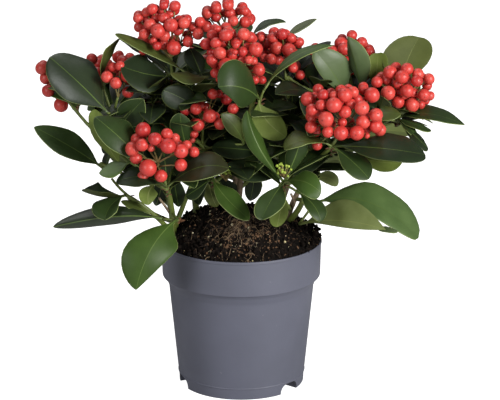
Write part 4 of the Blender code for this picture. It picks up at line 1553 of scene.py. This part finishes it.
REGIONS = {
    "leaves_left": (
        "foliage_left_front", "foliage_left", "foliage_far_left", "foliage_left_lance",
        "foliage_low_left", "foliage_hanging",
    ),
    "leaves_top": (
        "foliage_top_left", "foliage_top_centre", "foliage_centre_front", "foliage_crown_right",
        "foliage_back_right",
    ),
    "leaves_middle": (
        "foliage_centre_low", "foliage_middle", "foliage_centre_left", "foliage_heart",
    ),
    "leaves_right": ("foliage_right", "foliage_front_right", "foliage_right_low"),
    "leaves_back": (
        "foliage_back_left", "foliage_back", "foliage_back_right_low", "foliage_back_low_left",
        "foliage_back_low_right",
    ),
}

# Side shoots and dead twigs low on the stems: the limb and the share of its length where each
# starts, its bend and its end, its radius at each end, and its look
SIDE_SHOOTS = (
    ("stem_left", 0.04, (173, 206, -0.030), (166, 184, -0.046), 0.0026, 0.0019, 1),
    ("stem_left", 0.10, (183, 206, -0.026), (194, 178, -0.032), 0.0022, 0.0016, 1),
    ("stem_left", 0.03, (152, 209, -0.032), (126, 195, -0.026), 0.0022, 0.0016, 1),
    ("stem_left", 0.30, (168, 210, -0.034), (159, 198, -0.036), 0.0012, 0.0009, 2),
    ("bough_low_left", 0.97, (119, 189, -0.026), (112, 179, -0.032), 0.0012, 0.0010, 1),
    ("stem_right", 0.03, (298, 214, -0.020), (304, 198, -0.026), 0.0027, 0.0021, 1),
    ("stem_right", 0.20, (297, 205, -0.026), (291, 194, -0.034), 0.0015, 0.0009, 2),
)


# Masses that stand on a stem. The others stand on the bough of the same name.
STEM_MASSES = {
    "foliage_left_front": "stem_left",
    "foliage_top_left": "stem_back_left",
    "foliage_centre_front": "stem_centre",
    "foliage_front_right": "stem_right",
    "foliage_back_right": "stem_back_right",
    "foliage_back": "stem_back",
}


def carrier_of(mass):
    """The name of the limb that carries a mass."""
    return STEM_MASSES.get(mass, mass.replace("foliage", "bough"))


def whorl(rng, foliage, node, axis, count, sector, shades, length):
    """Leaves by rule about a node: bearings a golden angle apart, the lowest leaves the flattest."""
    start, end = (math.radians(angle) for angle in sector)
    turn = rng.uniform(0.0, math.tau)
    for number in range(count):
        turn += GOLDEN_ANGLE
        for attempt in range(WHORL_TRIES):
            swing = rng.uniform(-0.1, 0.1) * attempt
            bearing = start + ((turn + swing) % math.tau) / math.tau * (end - start)
            outward = Vector((math.cos(bearing), math.sin(bearing), 0.0))
            outward = (outward - axis * outward.dot(axis)).normalized()
            slope = math.radians(rng.uniform(*WHORL_SLOPES) + WHORL_SPREAD * number / max(1, count))
            direction = axis * math.cos(slope) + outward * math.sin(slope)
            reach = length * rng.uniform(*WHORL_LENGTHS) * (1.0 - 0.008 * attempt)
            base = node - axis * 0.010 * number / max(1, count)
            tip = base + direction * reach - Vector((0.0, 0.0, 0.006 * rng.random()))
            facing = axis * math.sin(slope) - outward * math.cos(slope) * 0.9
            facing += Vector([rng.gauss(0, WHORL_STRAY) for _ in range(3)])
            width = reach * rng.uniform(*WHORL_WIDTHS)
            bow = rng.uniform(*WHORL_BOWS)
            cup = rng.uniform(*WHORL_CUPS)
            middle, left, right = leaf_by_rule(base, tip, width, facing, bow, cup)
            if all(in_crown(place) for place in (tip, left, right)):
                shade = rng.choice(shades)
                point = rng.uniform(*WHORL_POINTS)
                foliage.add(rng, base, middle, tip, left, right, shade, point)
                break


def bracts(rng, foliage, node, axis):
    """A few brown scales under a whorl."""
    for _ in range(4):
        bearing = rng.uniform(0.0, math.tau)
        outward = Vector((math.cos(bearing), math.sin(bearing), 0.4)).normalized()
        base = node - axis * rng.uniform(0.003, 0.008)
        tip = base + outward * rng.uniform(0.004, 0.006)
        foliage.add_by_rule(rng, base, tip, 0.0022, axis, 0.0008, 0.2, "bract")


def buds(rng, fruit, node, axis):
    """A small head of green flower buds."""
    for _ in range(22):
        direction = Vector((rng.gauss(0, 0.6), rng.gauss(0, 0.6), 1.0 + rng.gauss(0, 0.3))).normalized()
        spot = node + axis * 0.003 + direction * rng.uniform(0.004, 0.010)
        fruit.stalk(node, node.lerp(spot, 0.5), spot, 0.0004, 0.0004, 0, 3, 5)
        fruit.berry(rng, spot, direction, rng.uniform(0.0008, 0.0013), "bud")


def grow(paths):
    """Twigs, leaves and berries on every limb's tip."""
    fruit = Fruit()
    regions = {name: Foliage(name, nodes) for name, nodes in REGIONS.items()}
    owner = {node: regions[name] for name, nodes in REGIONS.items() for node in nodes}
    for number, shoot in enumerate(SHOOTS):
        rng = random.Random(SEED + number)
        foliage = owner[shoot.mass]
        node = seen(*shoot.node)
        axis = Vector(shoot.lean).normalized()
        limb = paths[carrier_of(shoot.mass)]
        tip = limb[-1]
        along = (tip - limb[-4]).normalized()
        bend = tip + along * (node - tip).length * 0.5
        fruit.stalk(tip - along * 0.002, bend, node, 0.0015, TWIG_RADIUS, 1, 8, 8)
        for leaf in shoot.leaves:
            base = node
            if leaf.base:
                base = seen(*leaf.base)
                fruit.stalk(node - axis * 0.003, node.lerp(base, 0.5), base, 0.0011, 0.0010, 1)
            points = [seen(*point) for point in (leaf.middle, leaf.tip, leaf.left, leaf.right)]
            foliage.add(rng, base, *points, leaf.shade, leaf.point, leaf.shoulder)
        whorl(rng, foliage, node, axis, shoot.filler, shoot.sector, shoot.shades, shoot.length)
        bracts(rng, foliage, node, axis)
        if shoot.head:
            fruit.head(rng, node, shoot.head)
    rng = random.Random(SEED)
    buds(rng, fruit, seen(284, 178, -0.054), Vector((0.0, 0.0, 1.0)))
    buds(rng, fruit, seen(226, 181, -0.036), Vector((0.0, 0.0, 1.0)))
    for limb, share, bend, end, start_radius, end_radius, look in SIDE_SHOOTS:
        start = paths[limb][round(share * (LIMB_RINGS - 1))]
        fruit.stalk(start, seen(*bend), seen(*end), start_radius, end_radius, look, 8, 8)
    for number, bush in enumerate(BUSHES):
        rng = random.Random(SEED + len(SHOOTS) + number)
        foliage = owner[bush.mass]
        node = seen(*bush.node)
        axis = Vector(bush.lean).normalized()
        tip = paths[carrier_of(bush.mass)][-1]
        bend = tip.lerp(node, 0.5) - Vector((0.0, 0.0, 0.004))
        fruit.stalk(tip, bend, node, 0.0014, 0.0012, 1, 8, 8)
        whorl(rng, foliage, node, axis, bush.leaves, (0.0, 360.0), bush.shades, bush.length)
        bracts(rng, foliage, node, axis)
        if bush.berries:
            fruit.round_head(rng, node, axis, bush.berries)
    for foliage in regions.values():
        foliage.joined.make("foliage", foliage.nodes)
    fruit.berries.make("berry")
    fruit.stalks.make("bark")


# Stage


def area_light(name, place, aim, size, power, colour):
    """A soft square light."""
    data = bpy.data.lights.new(name, "AREA")
    data.size = size
    data.energy = power
    data.color = colour
    item = bpy.data.objects.new(name, data)
    bpy.context.scene.collection.objects.link(item)
    item.location = place
    item.rotation_euler = (Vector(aim) - Vector(place)).to_track_quat("-Z", "Y").to_euler()


def make_floor_material():
    """A pale floor that shows white to the camera."""
    material, nodes, links, shader = new_material("floor_pale")
    fill(shader, {
        "Base Color": FLOOR_COLOUR,
        "Roughness": 0.9,
        "Specular IOR Level": 0.1,
        "Emission Color": WHITE,
    })
    ray = nodes.new("ShaderNodeLightPath")
    links.new(ray.outputs["Is Camera Ray"], shader.inputs["Emission Strength"])
    return material


def make_world():
    """A dim world that shows white to the camera."""
    world = bpy.data.worlds.new("studio")
    world.use_nodes = True
    nodes = world.node_tree.nodes
    links = world.node_tree.links
    background = nodes["Background"]
    fill(background, {"Color": WHITE})
    ray = nodes.new("ShaderNodeLightPath")
    strength = nodes.new("ShaderNodeMapRange")
    fill(strength, {"To Min": WORLD_STRENGTH, "To Max": 1.0})
    links.new(ray.outputs["Is Camera Ray"], strength.inputs["Value"])
    links.new(strength.outputs["Result"], background.inputs["Strength"])
    return world


def build_stage():
    """Pale floor, soft studio light and the camera."""
    deselect()
    bpy.ops.mesh.primitive_plane_add(size=FLOOR_SIZE, location=(0.0, 0.0, 0.0))
    floor = bpy.context.object
    floor.name = "floor"
    floor.data.materials.append(make_floor_material())
    bpy.context.scene.world = make_world()
    area_light("key", (1.28, -1.36, 0.80), (0.0, 0.0, 0.18), 0.7, 50.0, (1.0, 0.99, 0.97))
    area_light("fill", (-1.15, -1.40, 0.82), (0.0, 0.0, 0.18), 0.6, 12.0, (0.98, 0.99, 1.0))
    area_light("top", (-0.5, 0.8, 1.8), (0.0, 0.0, 0.2), 1.4, 12.0, (1.0, 1.0, 1.0))

    camera_data = bpy.data.cameras.new("camera")
    camera_data.sensor_fit = "HORIZONTAL"
    camera_data.sensor_width = SENSOR_WIDTH_MM
    camera_data.lens = FOCAL_LENGTH_IN_COLUMNS / PHOTO_COLUMNS * SENSOR_WIDTH_MM
    camera = bpy.data.objects.new("camera", camera_data)
    camera.location = CAMERA_PLACE
    camera.rotation_euler = (math.radians(90.0) - CAMERA_DOWN, 0.0, -CAMERA_RIGHT)
    bpy.context.scene.collection.objects.link(camera)
    bpy.context.scene.camera = camera
    bpy.context.scene.view_settings.view_transform = "Standard"


build_stage()
build_pot()
build_soil(random.Random(5))
limb_paths = build_limbs(random.Random(9))
grow(limb_paths)

bpy.context.view_layer.update()
